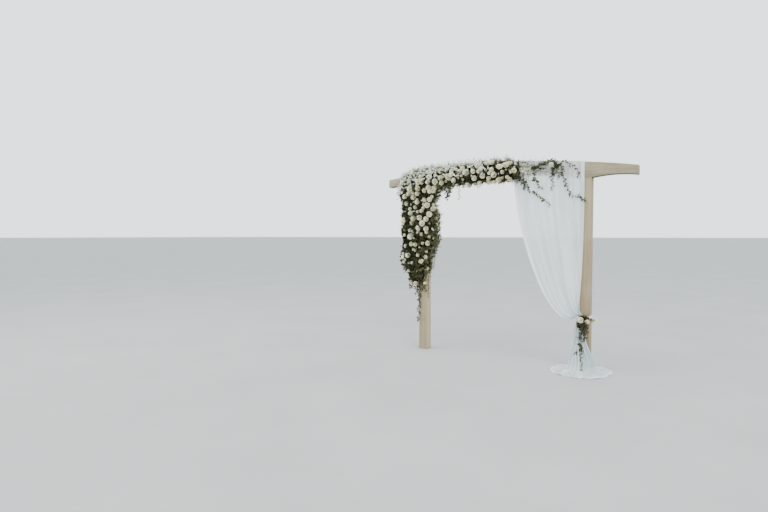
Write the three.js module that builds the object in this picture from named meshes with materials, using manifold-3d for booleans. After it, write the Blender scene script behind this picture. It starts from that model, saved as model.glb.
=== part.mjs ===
// A timber ceremony arch: two posts under one curved beam that runs past them, a garland of flowers
// and foliage round its left shoulder, and a sheer drape hung over the beam and tied to the right post.
// Millimetres, +Z up. The origin is the middle of the left post's foot, +X runs along the beam to the
// right post, and +Y goes to the back.
import * as THREE from "three";
import { mergeVertices } from "three/addons/utils/BufferGeometryUtils.js";
import Module from "manifold-3d";

const wasm = await Module();
wasm.setup();

// Timber
const POST = 120;
const SPAN = 2120;
const OVERHANG = 547;
const SEAT = 2215;
const BEAM_END_TOP = 2326;
const BEAM_END_SOFFIT = 2222;
const TOP_RISE = 131;
const SOFFIT_RISE = 85;
const SCALLOP_RISE = 21;
const CURVE_STEPS = 24;

// What touches keeps this gap.
const GAP = 0.3;

// Drape
const CLOTH = 8;
const DRAPE_LEFT = 1276;
const DRAPE_RIGHT = 2103;
const BACK_HEM = 2300;
const TIE_TOP = 616;
const TIE_HEIGHT = 24;
const TIE_BAND = 3;
const THROAT = { x: 2078, y: -87, radius: 25 };
const THROAT_TOP = 632;
const FOLD_DEPTH = 15;
const POOL = { x: 2118, y: -190, radiusX: 330, radiusY: 362, height: 15 };

const HALF = POST / 2;
const BEAM_LEFT = -OVERHANG;
const BEAM_RIGHT = SPAN + OVERHANG;

const colours = {
  post: 0xc9b3a0,
  beam: 0xb3a28f,
  foliage: 0x3c4630,
  sprig: 0x6d7656,
  cloth: 0xe9edee,
  tie: 0xe2e0d8,
};

function material(colour, roughness) {
  return new THREE.MeshStandardMaterial({ color: colour, roughness, metalness: 0 });
}

// A closed geometry as a solid that can be joined and cut.
function solidOf(geometry) {
  const bare = geometry.clone();
  bare.deleteAttribute("normal");
  bare.deleteAttribute("uv");
  const merged = mergeVertices(bare, 1e-4);
  const vertProperties = new Float32Array(merged.attributes.position.array);
  const triVerts = new Uint32Array(merged.index.array);
  return new wasm.Manifold(new wasm.Mesh({ numProp: 3, vertProperties, triVerts }));
}

function geometryOf(solid) {
  const made = solid.getMesh();
  const geometry = new THREE.BufferGeometry();
  geometry.setAttribute("position", new THREE.BufferAttribute(made.vertProperties, 3));
  geometry.setIndex(new THREE.BufferAttribute(made.triVerts, 1));
  geometry.computeVertexNormals();
  return geometry;
}

// A box from its low and high corners.
function boxSolid(low, high) {
  const size = high.map((value, i) => value - low[i]);
  const box = new THREE.BoxGeometry(...size);
  box.translate(...low.map((value, i) => value + size[i] / 2));
  return solidOf(box);
}

// An outline in X and Z, extruded to lie between two values of Y.
function slab(outline, front, back) {
  const depth = back - front;
  const options = { depth, bevelEnabled: false, curveSegments: CURVE_STEPS };
  const made = new THREE.ExtrudeGeometry(outline, options);
  made.rotateX(Math.PI / 2);
  made.translate(0, back, 0);
  return solidOf(made);
}

// Adds a shallow arc to an outline, ending at (x, z) and rising by the given height between its ends.
function arcTo(outline, x, z, rise) {
  const from = outline.currentPoint;
  outline.quadraticCurveTo((from.x + x) / 2, (from.y + z) / 2 + 2 * rise, x, z);
}

// The height of the beam's top at x.
function beamTop(x) {
  const halfLength = (BEAM_RIGHT - BEAM_LEFT) / 2;
  const fromMiddle = (x - SPAN / 2) / halfLength;
  return BEAM_END_TOP + TOP_RISE * (1 - fromMiddle ** 2);
}

// The beam's side outline, with an even margin for what keeps clear of it.
function beamOutline(margin) {
  const outline = new THREE.Shape();
  outline.moveTo(BEAM_LEFT - margin, BEAM_END_SOFFIT - margin);
  arcTo(outline, -HALF, SEAT - margin, SCALLOP_RISE);
  outline.lineTo(HALF, SEAT - margin);
  arcTo(outline, SPAN - HALF, SEAT - margin, SOFFIT_RISE);
  outline.lineTo(SPAN + HALF, SEAT - margin);
  arcTo(outline, BEAM_RIGHT + margin, BEAM_END_SOFFIT - margin, SCALLOP_RISE);
  outline.lineTo(BEAM_RIGHT + margin, BEAM_END_TOP + margin);
  arcTo(outline, BEAM_LEFT - margin, BEAM_END_TOP + margin, TOP_RISE);
  return outline;
}

function beam(margin) {
  return slab(beamOutline(margin), -HALF - margin, HALF + margin);
}

function post(x, margin) {
  const reach = HALF + margin;
  const foot = margin ? -1 : 0;
  return boxSolid([x - reach, -reach, foot], [x + reach, reach, SEAT]);
}

// A closed body with an oval ring at each station, from the lowest to the highest. A station is
// { at, x, y, rx, ry } in the body's own frame, where at runs along its length. The sizes of lump
// and lumps say how uneven it is and how often.
function loft(stations, sides, lump = 0, lumps = 5, margin = 0) {
  const steps = stations.length - 1;
  const body = new THREE.CylinderGeometry(1, 1, 1, sides, steps);
  body.rotateX(Math.PI / 2);
  const place = body.attributes.position;
  for (let i = 0; i < place.count; i++) {
    const ring = Math.round((place.getZ(i) + 0.5) * steps);
    const station = stations[ring];
    const reach = Math.hypot(place.getX(i), place.getY(i));
    const angle = Math.atan2(place.getY(i), place.getX(i));
    const wave = 1 + lump * Math.sin(lumps * angle + 2.3 * ring) * Math.cos(1.7 * ring + angle);
    const x = station.x + reach * (station.rx * wave + margin) * Math.cos(angle);
    const y = station.y + reach * (station.ry * wave + margin) * Math.sin(angle);
    const end = ring === 0 ? -margin : ring === steps ? margin : 0;
    place.setXYZ(i, x, y, station.at + end);
  }
  return body;
}

// A loft that runs along +X instead of +Z: its x goes to Y and its y goes to Z.
function loftAlongBeam(stations, sides, lump, lumps, margin) {
  const body = loft(stations, sides, lump, lumps, margin);
  const swap = new THREE.Matrix4().set(0, 0, 1, 0, 1, 0, 0, 0, 0, 1, 0, 0, 0, 0, 0, 1);
  return body.applyMatrix4(swap);
}

// A thin stem with its leaves, as a tube along a curve.
function stem(points, radius) {
  const path = new THREE.CatmullRomCurve3(points.map((p) => new THREE.Vector3(...p)));
  const section = new THREE.Shape();
  section.absarc(0, 0, radius, 0, 2 * Math.PI);
  const steps = Math.ceil(path.getLength() / 30);
  return solidOf(new THREE.ExtrudeGeometry(section, {
    steps,
    curveSegments: 8,
    extrudePath: path,
  }));
}

// The cloth over the beam: down its front to the soffit, and a short flap behind it.
function drapeHeader(margin) {
  const thick = CLOTH + margin;
  const outline = new THREE.Shape();
  const left = DRAPE_LEFT - margin;
  const right = DRAPE_RIGHT + margin;
  outline.moveTo(left, SEAT + GAP - margin);
  outline.lineTo(right, SEAT + GAP - margin);
  for (let i = 0; i <= CURVE_STEPS; i++) {
    const x = right + ((left - right) * i) / CURVE_STEPS;
    outline.lineTo(x, beamTop(x) + thick + GAP);
  }
  const whole = slab(outline, -HALF - GAP - thick, HALF + GAP + thick);
  const behind = boxSolid([left - 1, HALF + GAP, SEAT - 1], [right + 1, HALF + 50, BACK_HEM]);
  const core = new THREE.Shape();
  core.moveTo(BEAM_LEFT, SEAT - 50);
  core.lineTo(BEAM_RIGHT, SEAT - 50);
  core.lineTo(BEAM_RIGHT, BEAM_END_TOP + GAP);
  arcTo(core, BEAM_LEFT, BEAM_END_TOP + GAP, TOP_RISE);
  return whole.subtract(slab(core, -HALF - GAP, HALF + GAP)).subtract(behind);
}

// The swept edge of the curtain, from the beam down to the tie.
const sweptEdge = new THREE.CatmullRomCurve3([
  new THREE.Vector3(DRAPE_LEFT, 0, SEAT),
  new THREE.Vector3(1305, 0, 1935),
  new THREE.Vector3(1380, 0, 1580),
  new THREE.Vector3(1485, 0, 1240),
  new THREE.Vector3(1625, 0, 920),
  new THREE.Vector3(1820, 0, 655),
  new THREE.Vector3(1965, 0, 588),
  new THREE.Vector3(THROAT.x - THROAT.radius, 0, THROAT_TOP),
]);

// The curtain, from the beam's soffit to the tie, as deep as its fine folds: they run together
// towards its lower end.
function drapeCurtain(margin) {
  const body = new THREE.BoxGeometry(1, 1, 1, 1, 1, CURVE_STEPS);
  const place = body.attributes.position;
  const straightEdge = new THREE.LineCurve3(
    new THREE.Vector3(DRAPE_RIGHT, 0, SEAT),
    new THREE.Vector3(THROAT.x + THROAT.radius, 0, THROAT_TOP),
  );
  for (let i = 0; i < place.count; i++) {
    const share = place.getX(i) + 0.5;
    const fall = 0.5 - place.getZ(i);
    const swept = sweptEdge.getPointAt(fall);
    const straight = straightEdge.getPointAt(fall);
    const spot = swept.lerp(straight, share);
    const thick = FOLD_DEPTH + (2 * THROAT.radius - FOLD_DEPTH) * fall ** 6;
    const back = THROAT.y + THROAT.radius;
    const y = place.getY(i) > 0 ? back + margin : back - thick - margin;
    const side = (share === 0 ? -margin : 0) + (share === 1 ? margin : 0);
    const end = fall === 1 ? -margin : 0;
    place.setXYZ(i, spot.x + side, y, spot.z + end);
  }
  return solidOf(body);
}

// The cloth under the tie: a bunched throat that flares over the post's foot.
function drapeSkirt(margin) {
  const stations = [
    { at: POOL.height + 2 * GAP, x: 2094, y: -75, rx: 150, ry: 145 },
    { at: 116, x: 2094, y: -80, rx: 136, ry: 115 },
    { at: 211, x: 2079, y: -92, rx: 110, ry: 80 },
    { at: 332, x: 2072, y: -100, rx: 72, ry: 48 },
    { at: 450, x: 2079, y: -96, rx: 68, ry: 36 },
    { at: 535, x: 2088, y: -90, rx: 54, ry: 29 },
    { at: TIE_TOP - TIE_HEIGHT - 6, x: THROAT.x, y: THROAT.y, rx: THROAT.radius, ry: THROAT.radius },
    { at: THROAT_TOP - GAP, x: THROAT.x, y: THROAT.y, rx: THROAT.radius, ry: THROAT.radius },
  ];
  return solidOf(loft(stations, 32, 0, 5, margin)).subtract(post(SPAN, GAP));
}

// The cloth that lies on the ground round the right post.
function drapePool() {
  const stations = [
    { at: 0, x: POOL.x, y: POOL.y, rx: POOL.radiusX, ry: POOL.radiusY },
    { at: POOL.height, x: POOL.x, y: POOL.y, rx: POOL.radiusX - 12, ry: POOL.radiusY - 12 },
  ];
  return solidOf(loft(stations, 48, 0.03, 7)).subtract(post(SPAN, GAP));
}

// The band that ties the cloth to the post.
function tieBand(margin) {
  const high = TIE_TOP + margin;
  const low = TIE_TOP - TIE_HEIGHT - margin;
  const ring = (reach) => {
    const outline = new THREE.Shape();
    const right = SPAN + HALF + reach;
    const left = Math.min(SPAN - HALF, THROAT.x - THROAT.radius) - reach;
    const front = THROAT.y - THROAT.radius - reach;
    const bend = THROAT.radius;
    outline.moveTo(left, HALF + reach);
    outline.lineTo(left, front + bend);
    outline.quadraticCurveTo(left, front, left + bend, front);
    outline.lineTo(THROAT.x + THROAT.radius, front);
    outline.lineTo(right, -HALF - reach);
    outline.lineTo(right, HALF + reach);
    const options = { depth: high - low, bevelEnabled: false, curveSegments: 8 };
    return solidOf(new THREE.ExtrudeGeometry(outline, options).translate(0, 0, low));
  };
  return margin ? ring(GAP + TIE_BAND + margin) : ring(GAP + TIE_BAND).subtract(ring(GAP));
}

const leftPostClear = post(0, GAP);
const rightPostClear = post(SPAN, GAP);
const beamClear = beam(GAP);
const headerClear = drapeHeader(GAP);
const curtainClear = drapeCurtain(GAP);
const skirtClear = drapeSkirt(GAP);

// Garland pieces down the left post. Each starts one gap above the end of the piece below it.
const postGarland = [
  {
    name: "garland_post_lower",
    stations: [
      { at: 800, x: -20, y: -70, rx: 110, ry: 75 },
      { at: 900, x: -25, y: -80, rx: 165, ry: 100 },
      { at: 1020, x: -20, y: -82, rx: 190, ry: 105 },
      { at: 1150, x: 0, y: -85, rx: 215, ry: 112 },
    ],
  },
  {
    name: "garland_post_middle",
    stations: [
      { at: 1150, x: 0, y: -85, rx: 215, ry: 112 },
      { at: 1280, x: 0, y: -85, rx: 235, ry: 118 },
      { at: 1410, x: 0, y: -88, rx: 250, ry: 122 },
      { at: 1550, x: 0, y: -88, rx: 262, ry: 122 },
    ],
  },
  {
    name: "garland_post_upper",
    stations: [
      { at: 1550, x: 0, y: -88, rx: 262, ry: 122 },
      { at: 1690, x: 0, y: -90, rx: 275, ry: 125 },
      { at: 1830, x: 0, y: -90, rx: 270, ry: 125 },
      { at: 2020, x: 0, y: -90, rx: 272, ry: 128 },
    ],
  },
];

// Garland pieces along the beam, from the left shoulder to the drape.
const beamGarland = [
  {
    name: "garland_corner",
    stations: [
      { at: -282, x: -80, y: 2170, rx: 95, ry: 190 },
      { at: -190, x: -88, y: 2165, rx: 124, ry: 262 },
      { at: -60, x: -90, y: 2180, rx: 130, ry: 280 },
      { at: 70, x: -90, y: 2186, rx: 130, ry: 284 },
      { at: 190, x: -90, y: 2196, rx: 130, ry: 276 },
      { at: 320, x: -85, y: 2250, rx: 124, ry: 216 },
    ],
  },
  {
    name: "garland_beam_left",
    stations: [
      { at: 320, x: -85, y: 2250, rx: 124, ry: 216 },
      { at: 440, x: -82, y: 2278, rx: 120, ry: 205 },
      { at: 560, x: -80, y: 2290, rx: 116, ry: 190 },
      { at: 660, x: -80, y: 2300, rx: 114, ry: 182 },
    ],
  },
  {
    name: "garland_beam_middle",
    stations: [
      { at: 660, x: -80, y: 2300, rx: 114, ry: 182 },
      { at: 780, x: -80, y: 2312, rx: 116, ry: 182 },
      { at: 900, x: -80, y: 2322, rx: 114, ry: 178 },
      { at: 1000, x: -80, y: 2330, rx: 112, ry: 176 },
    ],
  },
  {
    name: "garland_beam_right",
    stations: [
      { at: 1000, x: -80, y: 2330, rx: 112, ry: 176 },
      { at: 1110, x: -80, y: 2325, rx: 112, ry: 182 },
      { at: 1220, x: -82, y: 2312, rx: 105, ry: 172 },
      { at: 1320, x: -85, y: 2305, rx: 80, ry: 140 },
    ],
  },
];

const GARLAND_SIDES = 20;
const GARLAND_LUMP = 0.09;

// Where the garland on the post ends and the one along the beam takes over.
const SHOULDER = 2020;
const underShoulder = boxSolid([-400, -400, SHOULDER - 200], [400, 400, SHOULDER + GAP]);

// One garland piece, cut back from the timber and from the cloth behind it.
function garlandPiece(piece, alongBeam) {
  const make = alongBeam ? loftAlongBeam : loft;
  const stations = piece.stations.map((station) => ({ ...station }));
  stations[0].at += GAP;
  const whole = solidOf(make(stations, GARLAND_SIDES, GARLAND_LUMP, 5, 0));
  return (alongBeam ? whole.subtract(underShoulder) : whole)
    .subtract(leftPostClear)
    .subtract(beamClear)
    .subtract(headerClear)
    .subtract(curtainClear);
}

// The thinner run of foliage over the top of the drape.
function vineSolid(margin) {
  const stations = [
    { at: 1321, x: -92, y: 2400, rx: 26, ry: 62 },
    { at: 1450, x: -94, y: 2405, rx: 28, ry: 56 },
    { at: 1600, x: -94, y: 2385, rx: 28, ry: 48 },
    { at: 1740, x: -94, y: 2392, rx: 28, ry: 44 },
    { at: 1850, x: -90, y: 2400, rx: 22, ry: 30 },
  ];
  return solidOf(loftAlongBeam(stations, 16, 0.08, 5, margin)).subtract(headerClear);
}

// Thin stems of leaves that hang in front of the drape.
const hangingSprigs = [
  [[1352, -94, 2375], [1438, -92, 2159], [1512, -90, 2071], [1585, -88, 2015], [1722, -88, 1933]],
  [[1530, -94, 2365], [1536, -92, 2249], [1565, -90, 2176], [1602, -88, 2121]],
  [[1741, -94, 2370], [1742, -90, 2240], [1744, -88, 2120]],
  [[1838, -90, 2390], [1863, -90, 2288], [1910, -88, 2124], [1979, -88, 2017], [2100, -88, 1965]],
  [[1840, -90, 2408], [1907, -84, 2405], [1998, -82, 2349], [2036, -82, 2260], [2040, -82, 2200]],
];
const SPRIG_RADIUS = 6;

function sprig(points) {
  return stem(points, SPRIG_RADIUS)
    .subtract(vineSolid(GAP))
    .subtract(headerClear)
    .subtract(curtainClear);
}

// Greenery that trails down the left post under the garland.
function postTrail() {
  const stations = [
    { at: 395, x: -48, y: -66, rx: 8, ry: 6 },
    { at: 520, x: -52, y: -68, rx: 14, ry: 10 },
    { at: 660, x: -46, y: -70, rx: 18, ry: 12 },
    { at: 800 - GAP, x: -40, y: -74, rx: 26, ry: 16 },
  ];
  return solidOf(loft(stations, 12, 0.1, 3)).subtract(leftPostClear);
}

// The flowers and leaves that cover the tie, on the post's front and right side.
function tiePosy(margin) {
  const lump = (x, y, z, radiusX, radiusY, radiusZ) => {
    const ball = new THREE.SphereGeometry(1, 20, 12);
    ball.scale(radiusX + margin, radiusY + margin, radiusZ + margin);
    return solidOf(ball.translate(x, y, z));
  };
  return lump(2125, -142, 548, 68, 40, 72)
    .add(lump(2180, -110, 566, 62, 44, 42))
    .add(lump(2222, -58, 580, 42, 42, 36))
    .subtract(tieBand(GAP))
    .subtract(skirtClear)
    .subtract(rightPostClear);
}

// Leaves that run on down the cloth from the posy.
function posyTrail() {
  const points = [
    [2112, -150, 520],
    [2108, -158, 430],
    [2106, -164, 340],
    [2112, -180, 220],
    [2120, -205, 120],
    [2128, -236, 40],
  ];
  return stem(points, SPRIG_RADIUS).subtract(skirtClear).subtract(tiePosy(GAP));
}

const arch = new THREE.Group();

function addPiece(name, solid, finish) {
  const mesh = new THREE.Mesh(geometryOf(solid), finish);
  mesh.name = name;
  arch.add(mesh);
}

addPiece("post_left", post(0, 0), material(colours.post, 0.7));
addPiece("post_right", post(SPAN, 0), material(colours.post, 0.7));
addPiece("beam", beam(0), material(colours.beam, 0.75));

for (const piece of postGarland) {
  addPiece(piece.name, garlandPiece(piece, false), material(colours.foliage, 0.9));
}
for (const piece of beamGarland) {
  addPiece(piece.name, garlandPiece(piece, true), material(colours.foliage, 0.9));
}
addPiece("vine_over_drape", vineSolid(0), material(colours.foliage, 0.9));
hangingSprigs.forEach((points, i) => {
  addPiece("hanging_sprig_" + (i + 1), sprig(points), material(colours.sprig, 0.9));
});
addPiece("post_trail", postTrail(), material(colours.sprig, 0.9));

addPiece("drape_header", drapeHeader(0), material(colours.cloth, 0.85));
addPiece("drape_curtain", drapeCurtain(0), material(colours.cloth, 0.85));
addPiece("drape_skirt", drapeSkirt(0), material(colours.cloth, 0.85));
addPiece("drape_pool", drapePool(), material(colours.cloth, 0.85));
addPiece("tie_band", tieBand(0), material(colours.tie, 0.8));
addPiece("tie_posy", tiePosy(0), material(colours.foliage, 0.9));
addPiece("posy_trail", posyTrail(), material(colours.sprig, 0.9));

export default arch;
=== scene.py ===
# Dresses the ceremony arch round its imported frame: timber, garland, vine, drape, tie and posy.
import math
import random

import bmesh
import bpy
import numpy as np
from mathutils import Euler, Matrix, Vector, noise
from mathutils.bvhtree import BVHTree


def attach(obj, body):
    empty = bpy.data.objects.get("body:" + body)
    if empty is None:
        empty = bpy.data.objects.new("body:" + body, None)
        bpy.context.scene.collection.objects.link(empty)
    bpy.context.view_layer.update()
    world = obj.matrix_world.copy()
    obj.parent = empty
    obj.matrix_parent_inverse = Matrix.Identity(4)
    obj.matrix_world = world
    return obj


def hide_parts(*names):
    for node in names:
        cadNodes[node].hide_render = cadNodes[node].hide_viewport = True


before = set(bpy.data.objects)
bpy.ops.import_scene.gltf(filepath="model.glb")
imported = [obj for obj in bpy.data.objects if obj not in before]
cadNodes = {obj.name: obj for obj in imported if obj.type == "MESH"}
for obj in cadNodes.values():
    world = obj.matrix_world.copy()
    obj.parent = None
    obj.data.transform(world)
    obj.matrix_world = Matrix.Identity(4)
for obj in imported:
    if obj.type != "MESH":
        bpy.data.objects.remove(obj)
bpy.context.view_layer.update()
scene = bpy.context.scene


def addObject(name, data):
    made = bpy.data.objects.new(name, data)
    scene.collection.objects.link(made)
    return made


# camera

view = {
    "place": (3.559, -6.623, 1.552),
    "pitch": 87.8368,
    "turn": 32.5626,
    "lens": 25.635,
    "sensor": 36.0,
    "pictureWide": 768,
    "pictureHigh": 512,
}

viewTurn = Euler((math.radians(view["pitch"]), 0, math.radians(view["turn"])))
viewPlace = Vector(view["place"])
pixelReach = view["lens"] / view["sensor"] * view["pictureWide"]

cameraData = bpy.data.cameras.new("camera")
cameraData.lens = view["lens"]
cameraData.sensor_width = view["sensor"]
camera = addObject("camera", cameraData)
camera.location = viewPlace
camera.rotation_euler = viewTurn
scene.camera = camera


def sightLine(across, down):
    # the direction from the camera through a point of the picture
    right = (across - view["pictureWide"] / 2) / pixelReach
    up = (view["pictureHigh"] / 2 - down) / pixelReach
    return viewTurn.to_matrix() @ Vector((right, up, -1))


# node helpers

class Wire:
    # an output socket that takes plain arithmetic
    def __init__(self, graph, socket):
        self.graph = graph
        self.socket = socket

    def maths(self, operation, *values):
        return self.graph.node("ShaderNodeMath", {"operation": operation}, dict(enumerate(values)))

    def __add__(self, other):
        return self.maths("ADD", self, other)

    def __sub__(self, other):
        return self.maths("SUBTRACT", self, other)

    def __rsub__(self, other):
        return self.maths("SUBTRACT", other, self)

    def __mul__(self, other):
        return self.maths("MULTIPLY", self, other)

    def __gt__(self, other):
        return self.maths("GREATER_THAN", self, other)

    def clamped(self):
        return self.graph.node("ShaderNodeClamp", {}, {0: self})

    def beside(self, name):
        # another output of the same node
        return Wire(self.graph, self.socket.node.outputs[name])


class Graph:
    def __init__(self, tree):
        self.tree = tree

    def node(self, kind, settings=None, inputs=None, output=0):
        made = self.tree.nodes.new(kind)
        for name, value in (settings or {}).items():
            if name == "stops":
                stops = made.color_ramp.elements
                for i, (position, colour) in enumerate(value):
                    stop = stops[i] if i < 2 else stops.new(position)
                    stop.position = position
                    stop.color = (*colour, 1)
            else:
                setattr(made, name, value)
        for key, value in (inputs or {}).items():
            self.feed(made.inputs[key], value)
        return Wire(self, made.outputs[output] if made.outputs else None)

    def feed(self, socket, value):
        if isinstance(value, Wire):
            self.tree.links.new(value.socket, socket)
        else:
            socket.default_value = (*value, 1) if socket.type == "RGBA" else value

    def mix(self, factor, first, second):
        return self.node("ShaderNodeMix", {"data_type": "RGBA"}, {0: factor, 6: first, 7: second}, 2)

    def mixShaders(self, factor, first, second):
        return self.node("ShaderNodeMixShader", {}, {0: factor, 1: first, 2: second})

    def translucent(self, colour):
        return self.node("ShaderNodeBsdfTranslucent", {}, {"Color": colour})

    def ramp(self, factor, *stops):
        return self.node("ShaderNodeValToRGB", {"stops": stops}, {0: factor})

    def stretched(self, spots, stretch):
        return self.node("ShaderNodeMapping", {}, {0: spots, 3: stretch})

    def objectPlace(self, stretch=(1, 1, 1)):
        return self.stretched(self.node("ShaderNodeTexCoord", output=3), stretch)

    def noise(self, spots, scale, detail=3.0, roughness=0.5):
        sizes = {"Vector": spots, "Scale": scale, "Detail": detail, "Roughness": roughness}
        return self.node("ShaderNodeTexNoise", {}, sizes)

    def attribute(self, name):
        return self.node("ShaderNodeAttribute", {"attribute_name": name}, output=2)


def surface(name, build):
    # a material whose shader comes from build(graph)
    material = bpy.data.materials.new(name)
    material.use_nodes = True
    material.node_tree.nodes.clear()
    graph = Graph(material.node_tree)
    graph.node("ShaderNodeOutputMaterial", {}, {0: build(graph)})
    return material


def principled(graph, colour, roughness, bump=None, strength=0.3, distance=0.002, **more):
    inputs = {"Base Color": colour, "Roughness": roughness}
    if bump:
        heights = {"Height": bump, "Strength": strength, "Distance": distance}
        inputs["Normal"] = graph.node("ShaderNodeBump", {}, heights)
    inputs.update({name.replace("_", " "): value for name, value in more.items()})
    return graph.node("ShaderNodeBsdfPrincipled", {}, inputs)


# mesh helpers

def meshOf(name, points, faces, material=None):
    mesh = bpy.data.meshes.new(name)
    mesh.from_pydata([tuple(p) for p in points], [], [tuple(f) for f in faces])
    if material:
        mesh.materials.append(material)
    mesh.shade_smooth()
    mesh.update()
    return mesh


def setAttribute(mesh, name, values, kind="FLOAT", domain="POINT"):
    layer = mesh.attributes.new(name, kind, domain)
    key = "vector" if kind == "FLOAT_VECTOR" else "value"
    layer.data.foreach_set(key, np.array(values, np.float32).ravel())


def mergedCopy(nodeName):
    # the node's solid with its loose triangles joined up
    solid = bmesh.new()
    solid.from_mesh(cadNodes[nodeName].data)
    bmesh.ops.remove_doubles(solid, verts=solid.verts, dist=1e-5)
    return solid


def objectOf(name, solid, material=None):
    # a solid that is being shaped, as an object of its own
    mesh = bpy.data.meshes.new(name)
    solid.to_mesh(mesh)
    if material:
        mesh.materials.append(material)
        mesh.shade_smooth()
    return addObject(name, mesh)


def treeOf(*nodeNames):
    solid = bmesh.new()
    for nodeName in nodeNames:
        solid.from_mesh(cadNodes[nodeName].data)
    tree = BVHTree.FromBMesh(solid)
    solid.free()
    return tree


def freeze(made, name):
    # the evaluated shape as a plain mesh in a new object; the modified one goes
    graph = bpy.context.evaluated_depsgraph_get()
    mesh = bpy.data.meshes.new_from_object(made.evaluated_get(graph))
    mesh.name = name
    bpy.data.objects.remove(made)
    return addObject(name, mesh)


def addPiece(made, slotName, *replaced):
    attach(made, "root")
    if replaced:
        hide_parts(*replaced)


# floor and light

def floorPaint(graph):
    patches = graph.noise(graph.objectPlace(), 0.8, 4)
    colour = graph.ramp(patches, (0.3, (0.318, 0.328, 0.323)), (0.7, (0.352, 0.361, 0.356)))
    return principled(graph, colour, 0.9)


floorSize, floorDown = 400, 0.001
floorCorners = [(x * floorSize, y * floorSize, -floorDown)
                for x, y in ((-1, -1), (1, -1), (1, 1), (-1, 1))]
floorMesh = meshOf("floor", floorCorners, [(0, 1, 2, 3)], surface("floor_paint", floorPaint))
floor = addObject("floor", floorMesh)

light = {
    "sky": (0.88, 0.94, 0.965, 1),
    "skyStrength": 2.50,
    # place, size and power of each lamp
    "lamps": {"key": ((14.0, -10.0, 12.0), 12.0, 2750.0), "top": ((-4.0, -4.5, 8.5), 8.0, 680.0)},
    "lampsFace": (1, 0, 1.2),
}

world = bpy.data.worlds.new("studio")
world.use_nodes = True
sky = world.node_tree.nodes["Background"]
sky.inputs[0].default_value = light["sky"]
sky.inputs[1].default_value = light["skyStrength"]
scene.world = world

for name, (spot, size, power) in light["lamps"].items():
    lampData = bpy.data.lights.new(name, "AREA")
    lampData.size = size
    lampData.energy = power
    lamp = addObject(name, lampData)
    lamp.location = spot
    lamp.rotation_euler = (Vector(light["lampsFace"]) - lamp.location).to_track_quat("-Z", "Y").to_euler()
print("stage ready")

# timber

timber = {
    "edgeRound": 0.0025,
    "roundSteps": 2,
    # the node, the name of its piece, its slot
    "pieces": (
        ("post_left", "left_post", "post_timber"),
        ("post_right", "right_post", "post_timber"),
        ("beam", "curved_beam", "beam_timber"),
    ),
    # the way that the grain is stretched, the pale and the warm tone
    "post_timber": ((1, 1, 0.035), (0.314, 0.259, 0.161), (0.232, 0.175, 0.099)),
    "beam_timber": ((0.035, 1, 1), (0.288, 0.255, 0.171), (0.192, 0.161, 0.096)),
    # painted shade: the dark colour of the beam's underside
    "under": (0.050, 0.038, 0.024),
    "paleSlope": 0.060,
    "streaks": 55.0,
    "pores": 420.0,
}


def limewash(stretch, pale, warm):
    # grain that runs along the timber, under a thin uneven wash
    def build(graph):
        washed = graph.attribute("washed")
        along = graph.objectPlace(stretch)
        streaks = graph.noise(along, timber["streaks"], 6, 0.62)
        pores = graph.noise(along, timber["pores"], 2, 0.6)
        patches = graph.noise(graph.objectPlace(), 3.5, 3)
        # paler towards the left along x, darker towards the right
        paleLeftward = graph.node("ShaderNodeSeparateXYZ", {}, {0: graph.objectPlace()}) * -timber["paleSlope"]
        wash = (streaks * 0.75 + patches * 0.45 + paleLeftward - 0.06).clamped()
        colour = graph.ramp(wash, (0.34, warm), (0.62, pale))
        # painted highlight: the left post's inner side is painted paler
        colour = graph.mix(washed * 0.6, colour, [c * 1.3 for c in pale])
        colour = graph.mix((pores > 0.63) * 0.22, colour, [c * 0.45 for c in warm])
        # painted shade on the faces that point down
        colour = graph.mix(graph.attribute("under") * 0.85, colour, timber["under"])
        roughness = streaks * 0.25 + 0.55
        return principled(graph, colour, roughness, streaks + pores * 0.6, 0.35, 0.0016)
    return build


def roundEdges(solid, bend, width, steps):
    # bevels the edges that bend by more than so many degrees
    sharp = [e for e in solid.edges if e.calc_face_angle(0) > math.radians(bend)]
    bmesh.ops.bevel(solid, geom=sharp, offset=width, offset_type="OFFSET", segments=steps, profile=0.5,
                    affect="EDGES")


def roundedTimber(nodeName, name, slotName):
    solid = mergedCopy(nodeName)
    bmesh.ops.dissolve_limit(solid, angle_limit=math.radians(0.5), verts=solid.verts, edges=solid.edges)
    roundEdges(solid, 25, timber["edgeRound"], timber["roundSteps"])
    bmesh.ops.recalc_face_normals(solid, faces=solid.faces)
    made = objectOf(name, solid, timbers[slotName])
    solid.free()
    mesh = made.data
    mesh.set_sharp_from_angle(angle=math.radians(35))
    # the underside of the beam gets painted shade, and the left post's inner side a painted highlight
    for layerName, picks in (("under", lambda face: face.normal.z < -0.9 and face.center.z > 1),
                             ("washed", lambda face: face.normal.x > 0.9 and nodeName == "post_left")):
        values = np.zeros(len(mesh.loops))
        for face in mesh.polygons:
            if picks(face):
                values[list(face.loop_indices)] = 1
        setAttribute(mesh, layerName, values, domain="CORNER")
    addPiece(made, slotName, nodeName)


timbers = {name: surface(name, limewash(*timber[name])) for name in ("post_timber", "beam_timber")}
for piece in timber["pieces"]:
    roundedTimber(*piece)
print("timber ready")

# drape: one sheet from the flap behind the beam to the hem on the ground

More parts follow.
